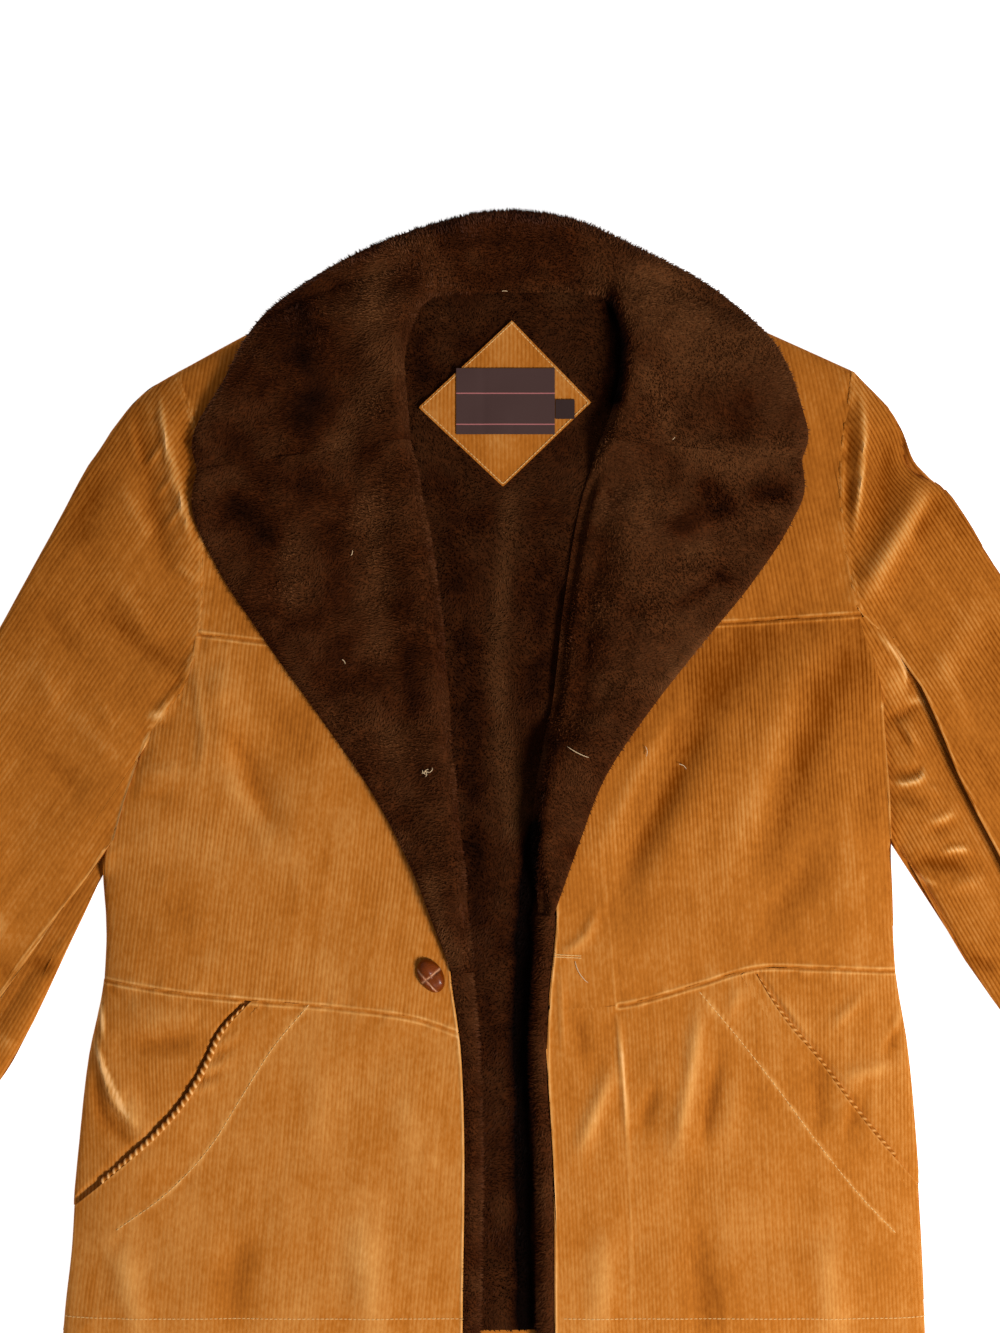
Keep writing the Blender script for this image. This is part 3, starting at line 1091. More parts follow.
def pile_band(inner, outer, stand, seed, plump=1.0, soft=0.0):
    """Pile folded over a roll, which is soft in places; sections run from the inner to the outer edge."""
    soft = np.reshape(soft, (-1, 1))
    step = outer - inner
    step = step * (1 - HAIR_ROOM / np.linalg.norm(step, axis=1, keepdims=True))
    width = np.linalg.norm(step, axis=1)[:, None]
    share = (1 - np.cos(np.linspace(0, math.pi, PILE_COLUMNS))) / 2
    from_inner, from_outer = width * share, width * (1 - share)
    plan = inner[:, None] + step[:, None] * share[None, :, None]
    x, y = plan[..., 0], plan[..., 1]
    rest = over_front(x, y)
    lip = layers(x[:, :1], y[:, :1])[1] + LAYER_GAP
    seat = smooth_step((from_inner - SEAT_START) / SEAT_LENGTH)
    under = lip + (rest - lip) * seat
    roll = (ROLL_RISE + SOFT_RISE * soft) * hump((from_inner - ROLL_REACH / 2) / ROLL_REACH)
    falls = rest + THINNEST + (PILE - THINNEST) * round_up(from_outer / ROLL_RADIUS) + roll
    start = round_up(from_inner / ROLL_RADIUS) * (1 - soft) + smooth_step(from_inner / SOFT_REACH) * soft
    falls = lip + LIP + (falls - lip - LIP) * start
    stands = lip + LIP + (COLLAR_CREST - lip - LIP) * smooth_step(from_inner / (width - 0.8 * CREST_RADIUS))
    stands = COLLAR_EDGE + (stands - COLLAR_EDGE) * round_up(from_outer / CREST_RADIUS)
    over = falls + (stands - falls) * stand[:, None]
    over = np.maximum(over, under + THINNEST)
    over = under + THINNEST + (over - under - THINNEST) * np.reshape(plump, (-1, 1))
    taper = smooth_step(from_inner / ROLL_RADIUS) * smooth_step(from_outer / ROLL_RADIUS)
    over = over + fluff(x, y, seed) * (0.3 + 0.7 * taper)
    way = step / width
    lean = xyz(HAIR_LEAN * way[:, :1], HAIR_LEAN * way[:, 1:] - HAIR_HANG, 0 * x)
    grow = smooth_step(from_outer / EDGE_HAIR_REACH)
    return pile_shell(xyz(x, y, over), xyz(x, y, under), lean, seed, grow)


# Materials

def plug(tree, socket, value):
    """Links an output to a socket, or gives the socket a value."""
    if isinstance(value, bpy.types.NodeSocket):
        tree.links.new(value, socket)
    else:
        socket.default_value = value


def node(tree, kind, settings=None, **sockets):
    """A node with its settings; a socket is given a value or linked to another node's output."""
    made = tree.nodes.new(kind)
    for key, value in (settings or {}).items():
        setattr(made, key, value)
    for key, value in sockets.items():
        plug(tree, made.inputs[key.replace("_", " ")], value)
    return made


def mixed(tree, factor, first, second, blend="MIX"):
    """Output of a colour mix; each input is a value or an output."""
    made = tree.nodes.new("ShaderNodeMix")
    made.data_type = "RGBA"
    made.blend_type = blend
    for place, value in ((0, factor), (6, first), (7, second)):
        plug(tree, made.inputs[place], value)
    return made.outputs[2]


def ranged(tree, value, low, high, to_low=0.0, to_high=1.0):
    """Output of a clamped change of range."""
    sockets = {"Value": value, "From_Min": low, "From_Max": high, "To_Min": to_low, "To_Max": to_high}
    return node(tree, "ShaderNodeMapRange", **sockets).outputs["Result"]


def attribute(tree, name):
    return node(tree, "ShaderNodeAttribute", {"attribute_name": name}).outputs["Fac"]


def noise(tree, scale, detail=2.0, stretch=(1.0, 1.0, 1.0)):
    """Noise on Object coordinates, finer for a larger scale."""
    where = node(tree, "ShaderNodeTexCoord").outputs["Object"]
    placed = node(tree, "ShaderNodeMapping", Vector=where, Scale=stretch).outputs["Vector"]
    return node(tree, "ShaderNodeTexNoise", Vector=placed, Scale=scale, Detail=detail).outputs["Fac"]


def finish(name, **sockets):
    """A Principled material with its even sockets set, its tree and its shader."""
    material = bpy.data.materials.new(name)
    material.use_nodes = True
    shader = material.node_tree.nodes["Principled BSDF"]
    for key, value in sockets.items():
        shader.inputs[key.replace("_", " ")].default_value = value
    return material, material.node_tree, shader


def set_bump(tree, shader, height, strength, depth):
    bump = node(tree, "ShaderNodeBump", Height=height, Strength=strength, Distance=depth)
    tree.links.new(bump.outputs["Normal"], shader.inputs["Normal"])


def dimmed(colour, share):
    return tuple(c * share for c in colour[:3]) + (1.0,)


def corduroy_finish(colours):
    """Ribs with a soft nap, from deep brown in the troughs to pale where the nap is worn."""
    material, tree, shader = finish("Corduroy", Roughness=0.92, Sheen_Weight=0.015, Sheen_Roughness=0.4,
                                    Sheen_Tint=tuple(colours.worn), Specular_IOR_Level=0.02)
    blotch = ranged(tree, noise(tree, 18, 4.0), 0.3, 0.7, -0.06, 0.06)
    speck = ranged(tree, noise(tree, 380, 4.0, (1.0, 0.5, 1.0)), 0.3, 0.7, -0.07, 0.07)
    level = math_node(tree, "ADD", attribute(tree, "light"), math_node(tree, "ADD", blotch, speck))
    ramp = node(tree, "ShaderNodeValToRGB", Fac=level)
    stops = ((0.0, colours.deep), (0.41, colours.corduroy), (0.72, colours.nap), (1.0, colours.worn))
    for place, _ in stops[1:-1]:
        ramp.color_ramp.elements.new(place)
    for element, (place, tint) in zip(ramp.color_ramp.elements, stops):
        element.color = tuple(tint)
    tree.links.new(ramp.outputs["Color"], shader.inputs["Base Color"])
    set_bump(tree, shader, noise(tree, 1400, 3.0), 0.35, 0.0004)
    return material


def in_shade(tree):
    """How far the pile's darkest patches go to black."""
    return ranged(tree, attribute(tree, "brushed"), -0.6, 0.02, 0.92, 0.0)


def pile_finish(colours, name, share):
    """Matted ground of the pile, under its hair."""
    material, tree, shader = finish(name, Roughness=0.95, Sheen_Weight=0.05, Sheen_Roughness=0.5,
                                    Sheen_Tint=tuple(colours.pile_tip), Specular_IOR_Level=0.03)
    clumps = ranged(tree, noise(tree, 130, 3.0), 0.35, 0.7)
    ground = mixed(tree, clumps, dimmed(colours.pile_root, share), dimmed(colours.pile, share))
    pale = ranged(tree, attribute(tree, "brushed"), 0.0, 1.0, 0.0, 0.4)
    ground = mixed(tree, pale, ground, dimmed(colours.pile_tip, share))
    ground = mixed(tree, in_shade(tree), ground, (0, 0, 0, 1))
    tree.links.new(ground, shader.inputs["Base Color"])
    set_bump(tree, shader, noise(tree, 700, 3.0), 0.7, 0.0012)
    return material


def hair_finish(colours, name, share):
    """Hair of the pile: dark at the root, brushed paler in patches at the tip."""
    material, tree, shader = finish(name, Roughness=0.6, Sheen_Weight=0.03, Sheen_Roughness=0.5,
                                    Sheen_Tint=tuple(colours.pile_tip), Specular_IOR_Level=0.06)
    tufts = ranged(tree, noise(tree, 150, 3.0), 0.3, 0.7, -0.05, 0.05)
    pale = math_node(tree, "ADD", attribute(tree, "brushed"), tufts)
    pale = ranged(tree, pale, 0.0, 1.0)
    tip = mixed(tree, pale, dimmed(colours.pile, share), dimmed(colours.pile_tip, share))
    along = ranged(tree, attribute(tree, "tip"), 0.0, 0.7, 0.75, 1.0)
    hair = mixed(tree, along, dimmed(colours.pile_root, share), tip)
    shade = mixed(tree, attribute(tree, "shade"), (0.92, 0.92, 0.92, 1), (1.08, 1.08, 1.08, 1))
    hair = mixed(tree, in_shade(tree), mixed(tree, 1.0, hair, shade, "MULTIPLY"), (0, 0, 0, 1))
    tree.links.new(hair, shader.inputs["Base Color"])
    return material


def thread_finish(colours):
    material, tree, shader = finish("Thread", Roughness=0.7, Sheen_Weight=0.1, Specular_IOR_Level=0.3)
    twist = ranged(tree, noise(tree, 1500, 2.0), 0.3, 0.7)
    tree.links.new(mixed(tree, twist, dimmed(colours.thread, 0.75), tuple(colours.thread)),
                   shader.inputs["Base Color"])
    return material


def label_finish(colours):
    """Satin weave with two thin woven lines."""
    material, tree, shader = finish("Woven label", Roughness=0.7, Specular_IOR_Level=0.12)
    where = node(tree, "ShaderNodeTexCoord").outputs["Object"]
    weave = node(tree, "ShaderNodeTexWave", {"wave_type": "BANDS", "bands_direction": "Y"},
                 Vector=where, Scale=620.0, Distortion=0.6, Detail=2.0).outputs["Fac"]
    cloth = mixed(tree, weave, dimmed(colours.label, 0.8), tuple(colours.label))
    place = node(tree, "ShaderNodeSeparateXYZ", Vector=where).outputs
    tab = math_node(tree, "GREATER_THAN", place["X"], LABEL["right"] * MM)
    cloth = mixed(tree, tab, cloth, dimmed(colours.label, TAB_SHADE))
    level = place["Y"]
    for share in (0.15, 0.62):
        line = (LABEL["bottom"] + (LABEL["top"] - LABEL["bottom"]) * share) * MM
        near = node(tree, "ShaderNodeMath", {"operation": "COMPARE"})
        tree.links.new(level, near.inputs[0])
        near.inputs[1].default_value = line
        near.inputs[2].default_value = 0.00045
        cloth = mixed(tree, near.outputs["Value"], cloth, tuple(colours.label_line))
    tree.links.new(cloth, shader.inputs["Base Color"])
    set_bump(tree, shader, weave, 0.3, 0.0002)
    return material


def leather_finish(colours):
    """Polished leather strips, rubbed pale along their edges."""
    material, tree, shader = finish("Button leather", Roughness=0.34, Specular_IOR_Level=0.2,
                                    Coat_Weight=0.08, Coat_Roughness=0.1)
    grain = noise(tree, 1100, 4.0)
    base = mixed(tree, ranged(tree, grain, 0.35, 0.7), dimmed(colours.leather, 0.6), tuple(colours.leather))
    tree.links.new(mixed(tree, attribute(tree, "rubbed"), base, tuple(colours.leather_edge)),
                   shader.inputs["Base Color"])
    set_bump(tree, shader, grain, 0.25, 0.0003)
    return material


def material_named(name, make, colours, *more):
    return bpy.data.materials.get(name) or make(colours, *more)


# Geometry Nodes

def tree_with(name, inputs):
    """A new tree with one geometry in and out, and the named inputs given as (name, socket type)."""
    tree = bpy.data.node_groups.new(name, "GeometryNodeTree")
    tree.interface.new_socket("Geometry", in_out="OUTPUT", socket_type="NodeSocketGeometry")
    tree.interface.new_socket("Geometry", in_out="INPUT", socket_type="NodeSocketGeometry")
    for label, kind in inputs:
        tree.interface.new_socket(label, in_out="INPUT", socket_type=kind)
    return tree, tree.nodes.new("NodeGroupInput"), tree.nodes.new("NodeGroupOutput")


def end_tree(tree, instances, material, out):
    """Realizes the instances and gives them their material."""
    real = node(tree, "GeometryNodeRealizeInstances", Geometry=instances)
    dressed = node(tree, "GeometryNodeSetMaterial", Geometry=real.outputs["Geometry"], Material=material)
    tree.links.new(dressed.outputs["Geometry"], out.inputs[0])
    return tree


def math_node(tree, operation, first, second):
    made = tree.nodes.new("ShaderNodeMath")
    made.operation = operation
    for socket, value in zip(made.inputs, (first, second)):
        plug(tree, socket, value)
    return made.outputs["Value"]


def random_number(tree, low, high, seed):
    made = node(tree, "FunctionNodeRandomValue", {"data_type": "FLOAT"})
    made.inputs[2].default_value = low
    made.inputs[3].default_value = high
    tree.links.new(seed, made.inputs["Seed"])
    return made.outputs[1]


def planted(tree, points, instance, way, sizes, seed):
    """Instances on points, each turned along its way and of a random size."""
    turn = node(tree, "FunctionNodeAlignRotationToVector", {"axis": "Z"}, Vector=way)
    made = node(tree, "GeometryNodeInstanceOnPoints", Points=points, Instance=instance,
                Rotation=turn.outputs["Rotation"], Scale=random_number(tree, *sizes, seed))
    return made.outputs["Instances"]


def hair_tree():
    """Hair scattered over a surface: each is a thin spike that lies the way the surface says."""
    tree, given, out = tree_with("Pile hair", [
        ("Density", "NodeSocketFloat"), ("Hair Length", "NodeSocketFloat"),
        ("Hair Width", "NodeSocketFloat"), ("Unevenness", "NodeSocketFloat"),
        ("Seed", "NodeSocketInt"), ("Material", "NodeSocketMaterial")])
    given = given.outputs
    grow = node(tree, "GeometryNodeInputNamedAttribute", {"data_type": "FLOAT"}, Name="grow")
    density = math_node(tree, "MULTIPLY", grow.outputs["Attribute"], given["Density"])
    points = node(tree, "GeometryNodeDistributePointsOnFaces", {"distribute_method": "RANDOM"},
                  Mesh=given["Geometry"], Density=density, Seed=given["Seed"])
    spike = node(tree, "GeometryNodeMeshCone", {"fill_type": "NONE"}, Vertices=3, Side_Segments=1,
                 Radius_Top=0.0, Radius_Bottom=given["Hair Width"], Depth=given["Hair Length"])
    where = node(tree, "ShaderNodeSeparateXYZ", Vector=node(tree, "GeometryNodeInputPosition").outputs[0])
    tip = math_node(tree, "DIVIDE", where.outputs["Z"], given["Hair Length"])
    marked = node(tree, "GeometryNodeStoreNamedAttribute", {"data_type": "FLOAT", "domain": "POINT"},
                  Geometry=spike.outputs["Mesh"], Name="tip", Value=tip)
    lay = node(tree, "GeometryNodeInputNamedAttribute", {"data_type": "FLOAT_VECTOR"}, Name="lay")
    stray = node(tree, "FunctionNodeRandomValue", {"data_type": "FLOAT_VECTOR"}, Seed=given["Seed"])
    stray.inputs[0].default_value = (-1, -1, -1)
    stray.inputs[1].default_value = (1, 1, 1)
    loose = node(tree, "ShaderNodeVectorMath", {"operation": "SCALE"}, Scale=given["Unevenness"])
    tree.links.new(stray.outputs[0], loose.inputs[0])
    way = node(tree, "ShaderNodeVectorMath", {"operation": "ADD"})
    tree.links.new(lay.outputs["Attribute"], way.inputs[0])
    tree.links.new(loose.outputs[0], way.inputs[1])
    hairs = planted(tree, points.outputs["Points"], marked.outputs["Geometry"], way.outputs[0], HAIR_SIZES,
                    given["Seed"])
    shaded = node(tree, "GeometryNodeStoreNamedAttribute", {"data_type": "FLOAT", "domain": "INSTANCE"},
                  Geometry=hairs, Name="shade",
                  Value=random_number(tree, 0.0, 1.0, given["Seed"]))
    return end_tree(tree, shaded.outputs["Geometry"], given["Material"], out)


def stitch_tree():
    """Stitches at an even pitch along lines of edges."""
    tree, given, out = tree_with("Stitches", [
        ("Pitch", "NodeSocketFloat"), ("Stitch Length", "NodeSocketFloat"),
        ("Thread Width", "NodeSocketFloat"), ("Seed", "NodeSocketInt"), ("Material", "NodeSocketMaterial")])
    given = given.outputs
    lines = node(tree, "GeometryNodeMeshToCurve", Mesh=given["Geometry"])
    places = node(tree, "GeometryNodeCurveToPoints", {"mode": "LENGTH"}, Curve=lines.outputs["Curve"],
                  Length=given["Pitch"])
    bead = node(tree, "GeometryNodeMeshIcoSphere", Radius=1.0, Subdivisions=1)
    half = math_node(tree, "MULTIPLY", given["Stitch Length"], 0.5)
    thin = math_node(tree, "MULTIPLY", given["Thread Width"], 0.5)
    shape = node(tree, "ShaderNodeCombineXYZ", X=thin, Y=thin, Z=half)
    stitch = node(tree, "GeometryNodeTransform", Geometry=bead.outputs["Mesh"], Scale=shape.outputs[0])
    sewn = planted(tree, places.outputs["Points"], stitch.outputs["Geometry"], places.outputs["Tangent"],
                   STITCH_SIZES, given["Seed"])
    return end_tree(tree, sewn, given["Material"], out)


def made_by(tree, name, mesh, values):
    """A plain mesh piece made by a tree from a mesh; values are given by input name."""
    piece = linked(name, mesh)
    modifier = piece.modifiers.new(tree.name, "NODES")
    modifier.node_group = tree
    for item in tree.interface.items_tree:
        if item.in_out == "INPUT" and item.name in values:
            modifier[item.identifier] = values[item.name]
    evaluated = piece.evaluated_get(bpy.context.evaluated_depsgraph_get())
    made = bpy.data.meshes.new_from_object(evaluated)
    piece.modifiers.remove(modifier)
    piece.data = made
    made.name = name
    return piece


# Pieces

def settings(context):
    return context.scene.jacket_sizes, context.scene.jacket_colours


def declare(piece, nodes):
    """Rides on the body, stands for its solids, and says how the sheet was cut."""
    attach(piece, BODY)
    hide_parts(*nodes)


def trim(piece, slot, *nodes):
    """A piece that is no sheet: stitches, hair, cord or button."""
    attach(piece, BODY)
    if nodes:
        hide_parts(*nodes)
    return piece


def grow_hair(context, base, name, seed, material):
    """Hair of a pile piece, as a piece of its own."""
    sizes = settings(context)[0]
    tree = bpy.data.node_groups.get("Pile hair") or hair_tree()
    hair = made_by(tree, name, base.data.copy(), {
        "Density": 1 / sizes.hair_spacing ** 2,
        "Hair Length": sizes.hair_length,
        "Hair Width": sizes.hair_width,
        "Unevenness": HAIR_UNEVEN,
        "Seed": seed,
        "Material": material,
    })
    return trim(hair, "pile")


def pile_piece(context, node_name, mesh, seed):
    """A pile wall with its hair, standing for a solid."""
    colours = settings(context)[1]
    points, faces, attributes = mesh
    name, share = ("Lining", LINING_SHADE) if node_name == "back_lining" else ("Pile", 1.0)
    ground = material_named(name, pile_finish, colours, name, share)
    hairy = material_named(name + " hair", hair_finish, colours, name + " hair", share)
    base = add_piece(node_name + "_pile", points, faces, ground, **attributes)
    hair = [grow_hair(context, base, node_name + "_hair", seed, hairy)]
    declare(base, [node_name])


def corduroy_piece(context, node_name, mesh):
    colours = settings(context)[1]
    points, faces, attributes = mesh
    material = material_named("Corduroy", corduroy_finish, colours)
    piece = add_piece(node_name + "_corduroy", points, faces, material, **attributes)
    declare(piece, [node_name])


class JACKET_OT_back(bpy.types.Operator):
    """Adds the back, flat on the floor, and its pile lining"""
    bl_idname = "jacket.back"
    bl_label = "Back and lining"

    def execute(self, context):
        outline = back_outline()
        shape = inset(outline, BACK_INSET)
        corduroy_piece(context, "back", floor_layer("back", shape))
        lining = inset(outline, LINING_INSET)
        at_neck = (np.abs(lining[:, 0] - NECK_MIDDLE) < NECK_HALF) & (lining[:, 1] > NECK_LOWEST)
        lining[at_neck, 1] += LINING_INSET + NECK_UNDERLAP
        self.lining(context, lining)
        return {"FINISHED"}

    def lining(self, context, outline):
        """Fine where the open front shows it, and hairy there but for the neck patch."""
        low, high = outline[:, 0].min() + EDGE_SLIVER, outline[:, 0].max() - EDGE_SLIVER
        left, right = LINING_SHOWN
        columns = np.concatenate([np.linspace(low, left, LINING_COARSE)[:-1],
                                  np.linspace(left, right, LINING_FINE),
                                  np.linspace(right, high, LINING_COARSE)[1:]])
        bottom, top = inside_span(outline, columns)
        y = bottom + (top - bottom) * np.linspace(0, 1, LINING_ROWS)[:, None]
        x = np.broadcast_to(columns, y.shape)
        shown = self.shown(x, y)
        z = lining_face(x, y) + fluff(x, y * 0.6, 31) * shown * 0.9
        z = z - OPEN_SINK * shown * smooth_step((OPEN_START - y) / OPEN_FADE)
        under = xyz(x, y, BACK_CLOTH + SEAM_GAP)
        lean = xyz(0.5 * cloud(x, y, 30, 37), -HAIR_LEAN, 0)
        mesh = pile_shell(xyz(x, y, z), under, lean, 33, LINING_HAIR * shown)
        pile_piece(context, "back_lining", mesh, 5)

    def shown(self, x, y):
        """1 in the open front and neck, 0 under the fronts and under the neck patch."""
        right, left = (np.where(y > ROLL[side][0][1], NECK_SIDES[side],
                                curve_by_height(ROLL[side], y) + OUTWARDS[side] * LINING_MARGIN)
                       for side in SIDES)
        open_front = (x > right) & (x < left)
        centre = [(PATCH["left"][0] + PATCH["right"][0]) / 2, (PATCH["top"][1] + PATCH["bottom"][1]) / 2]
        half = [(PATCH["right"][0] - PATCH["left"][0]) / 2, (PATCH["top"][1] - PATCH["bottom"][1]) / 2]
        patch = np.abs(x - centre[0]) / half[0] + np.abs(y - centre[1]) / half[1] < PATCH_ROOM
        return np.where(open_front & ~patch, 1.0, 0.0)


class JACKET_OT_body(bpy.types.Operator):
    """Adds the yokes, fronts and skirt panels"""
    bl_idname = "jacket.body"
    bl_label = "Yokes, fronts and skirt"

    def execute(self, context):
        sizes = settings(context)[0]
        for number, side in enumerate(SIDES):
            yoke_seam = (curve(YOKE_SEAM[side]), SEWN)
            waist_seam = (self.waist_line(side), SEWN)
            armhole = (curve(ARMHOLE[side]), EASED)
            edge = (front_edge(side, HEM, 80), FOLDED)
            beside = between(SIDE_SEAM[side], FREE_BELOW[side], SIDE_SEAM[side][0][1])
            under_arm = (beside, TUCKED if side == RIGHT else FOLDED)
            mouth = (curve(POCKET_MOUTH[side]), CREASED)
            placket = [(curve(PLACKET_STITCHES), CREASED)] if side == LEFT else []
            pocket = [(curve(POCKET_STITCHES[side]), TOPSTITCHED)]
            front_seams = [yoke_seam, waist_seam, armhole, edge, under_arm] + placket
            skirt_seams = [waist_seam, edge, mouth] + placket + pocket
            panels = [
                ("yoke", yoke_outline(side), self.tucked, [yoke_seam, armhole]),
                ("front", front_outline(side), self.tucked, front_seams),
                ("skirt_front", skirt_front_outline(side), self.lifted, skirt_seams),
                ("skirt_side", skirt_side_outline(side), self.sunk, [waist_seam]),
            ]
            for place, (name, outline, face, seams) in enumerate(panels):
                neck = NECK_REACH if name == "yoke" else 0.0
                name = f"{side}_{name}"
                seed = 40 + 10 * number + place
                mesh = ribbed(name, outline, partial(face, side), sizes, seed, seams, neck=neck)
                corduroy_piece(context, name, mesh)
        return {"FINISHED"}

    def waist_line(self, side):
        """On the left the seam ends at the placket."""
        line = curve(WAIST_SEAM[side])
        return line if side == RIGHT else line[line[:, 0] > PLACKET_STITCHES[2][0]]

    def tucked(self, side, x, y):
        """Drops where it runs in under the sleeve's edge."""
        height, light = cloth_face(x, y)
        edge = curve_by_height(ARMHOLE[side] + SIDE_SEAM[side][1:], y)
        covered = smooth_step(OUTWARDS[side] * (x - edge)) * (y > COVERED_ABOVE[side])
        return height - UNDERLAP_DROP * covered, light

    def lifted(self, side, x, y):
        """The pocket mouth's edge gapes most half way along."""
        height, light = cloth_face(x, y)
        mouth = curve(POCKET_MOUTH[side])
        from_ends = np.minimum(np.hypot(x - mouth[0, 0], y - mouth[0, 1]),
                               np.hypot(x - mouth[-1, 0], y - mouth[-1, 1]))
        near = 1 - smooth_step(distance(mouth, x, y) / LIFT_REACH)
        return height + MOUTH_LIFT[side] * near * smooth_step(from_ends / LIFT_ENDS), light

    def sunk(self, side, x, y):
        """Sinks under the pocket mouth."""
        height, light = cloth_face(x, y)
        upper, middle, _, _ = layers(x, y)
        near = 1 - smooth_step((distance(curve(POCKET_MOUTH[side]), x, y) - SINK_START) / SINK_REACH)
        room = np.maximum(upper - middle - THINNEST, 0)
        return height - np.minimum(MOUTH_SINK[side], room) * near, light


class JACKET_OT_sleeves(bpy.types.Operator):
    """Adds the top and under sleeves"""
    bl_idname = "jacket.sleeves"
    bl_label = "Sleeves"

    def execute(self, context):
        sizes = settings(context)[0]
        for number, side in enumerate(SIDES):
            outer, seam, inner, strip = sleeve_lines(side)
            armhole = (curve(ARMHOLE[side]), SET_IN)
            shown = strip > 0.5
            front_seam = (seam[shown], FOLDED)
            touching = ~shown * smooth_step((inner[:, 1] - FREE_BELOW[side]) / OVERLAP_FADE)
            edge = seam - touching[:, None] * [OUTWARDS[side] * EDGE_OVERLAP, 0]
            top = np.vstack([outer, edge[::-1]])
            beside = edge[~shown & (inner[:, 1] < ARMHOLE[side][-1][1])]
            edges = [(beside, LAID)] if len(beside) > 1 else []
            lifted = lambda x, y: self.shifted(seam[shown], SEAM_LIFT[side], CREASES, x, y)
            name = f"{side}_sleeve_top"
            seams = [armhole, front_seam] + edges
            hollow = None if side == RIGHT else ARMPIT_HOLLOW
            mesh = ribbed(name, top, lifted, sizes, 70 + number, seams, nip=NIPS[side], hollow=hollow)
            corduroy_piece(context, name, mesh)
            self.under(context, side, outer, seam[shown], inner, inner[shown], 80 + number)
        return {"FINISHED"}

    def under(self, context, side, outer, seam, inner, edge, seed):
        """The strip that shows past the front sleeve seam, and the layer on the floor."""
        sizes = settings(context)[0]
        name = f"{side}_sleeve_under"
        to_seam = (seam - edge) / np.linalg.norm(seam - edge, axis=1, keepdims=True)
        covered = smooth_step((edge[:, 1:] - FREE_BELOW[side]) / OVERLAP_FADE + UNDERLAP_PAST)
        edge = edge - OUTWARDS[side] * UNDERLAP * covered * [1, 0]
        strip = np.vstack([seam + UNDER_TUCK * to_seam, edge[::-1]])
        sunk = lambda x, y: self.stepped(side, *self.shifted(seam, -UNDER_SINK, UNDER_CREASES, x, y), x, y)
        shown = ribbed(name, strip, sunk, sizes, seed, step=FINE_STEP)
        beside_body = smooth_step((inner[:, 1:] - BODY_REACH_END) / OVERLAP_FADE)
        reach = inner - beside_body * [OUTWARDS[side] * BODY_REACH, 0]
        inwards = (inner - outer) / np.maximum(np.linalg.norm(inner - outer, axis=1, keepdims=True), 1)
        floor = np.vstack([outer + BACK_INSET * inwards, reach[::-1]])
        lower = floor_layer(f"{side}_sleeve_top", floor, NIPS[side])
        corduroy_piece(context, name, joined_meshes(shown, lower))

    def stepped(self, side, height, light, x, y):
        """Lower beside the body's edge, where the body lies on it."""
        away = distance(between(SIDE_SEAM[side], FREE_BELOW[side], SIDE_SEAM[side][0][1]), x, y)
        near = 1 - smooth_step(away / BODY_STEP_REACH)
        return height - BODY_STEP * near, light - STEP_SHADE * hump(away / STEP_SHADE_REACH)

    def shifted(self, seam, amount, rows, x, y):
        """Moved up or down beside the front sleeve seam, but no lower than the floor."""
        height, light = cloth_face(x, y, rows)
        along = smooth_step((UNDER_START - y) / UNDER_RAMP)
        moved = height + amount * along * hump(distance(seam, x, y) / UNDER_REACH)
        return np.maximum(moved, np.minimum(height, BACK_CLOTH + CLOTH + LAYER_GAP)), light


class JACKET_OT_pocket_edges(bpy.types.Operator):
    """Adds the corded edges of the pocket mouths"""
    bl_idname = "jacket.pocket_edges"
    bl_label = "Pocket edges"

    def execute(self, context):
        colours = settings(context)[1]
        material = material_named("Corduroy", corduroy_finish, colours)
        for side in SIDES:
            points, faces, attributes = self.cord(side)
            piece = add_piece(f"{side}_pocket_cord", points, faces, material, **attributes)
            trim(piece, "corduroy", f"{side}_pocket_piping")
        return {"FINISHED"}

    def cord(self, side):
        """Bias-cut cloth round a cord: its ribs wind round it like a rope's strands."""
        rings, around = 400, 12
        at = np.linspace(*CORD_ENDS, rings)
        line = curve(POCKET_MOUTH[side], at)
        run = np.gradient(line, axis=0)
        run /= np.linalg.norm(run, axis=1, keepdims=True)
        turn = OUTWARDS[side]
        outwards = turn * np.column_stack([-run[:, 1], run[:, 0]])
        centre = line + outwards * CORD_OUT
        mouth_ends = np.minimum(*(np.linalg.norm(line - line[end], axis=1) for end in (0, -1)))
        lift = MOUTH_LIFT[side] * smooth_step(mouth_ends / LIFT_ENDS)
        height = cloth_face(line[:, 0], line[:, 1])[0] + lift - CORD_SINK[side]
        along = shares_along(line)[:, None] * steps_of(line).sum()
        angle = np.linspace(0, 2 * math.pi, around, endpoint=False)[None, :]
        strand = 0.5 + 0.5 * np.cos(angle * turn + 2 * math.pi * along / CORD_TWIST)
        taper = CORD_START + (1 - CORD_START) * smooth_step(at / CORD_TAPER)[:, None]
        radius = CORD_RADIUS[side] * taper * (1 - ROPE[side] * (0.6 - strand))
        x = centre[:, :1] + outwards[:, :1] * radius * np.cos(angle)
        y = centre[:, 1:] + outwards[:, 1:] * radius * np.cos(angle)
        z = height[:, None] + radius * np.sin(angle)
        points = xyz(x, y, z).reshape(-1, 3)
        light = CORD_DARK + CORD_LIGHT[side] * strand.ravel() ** 2
        return points, tube_faces(rings, around, side == RIGHT), {"light": light}


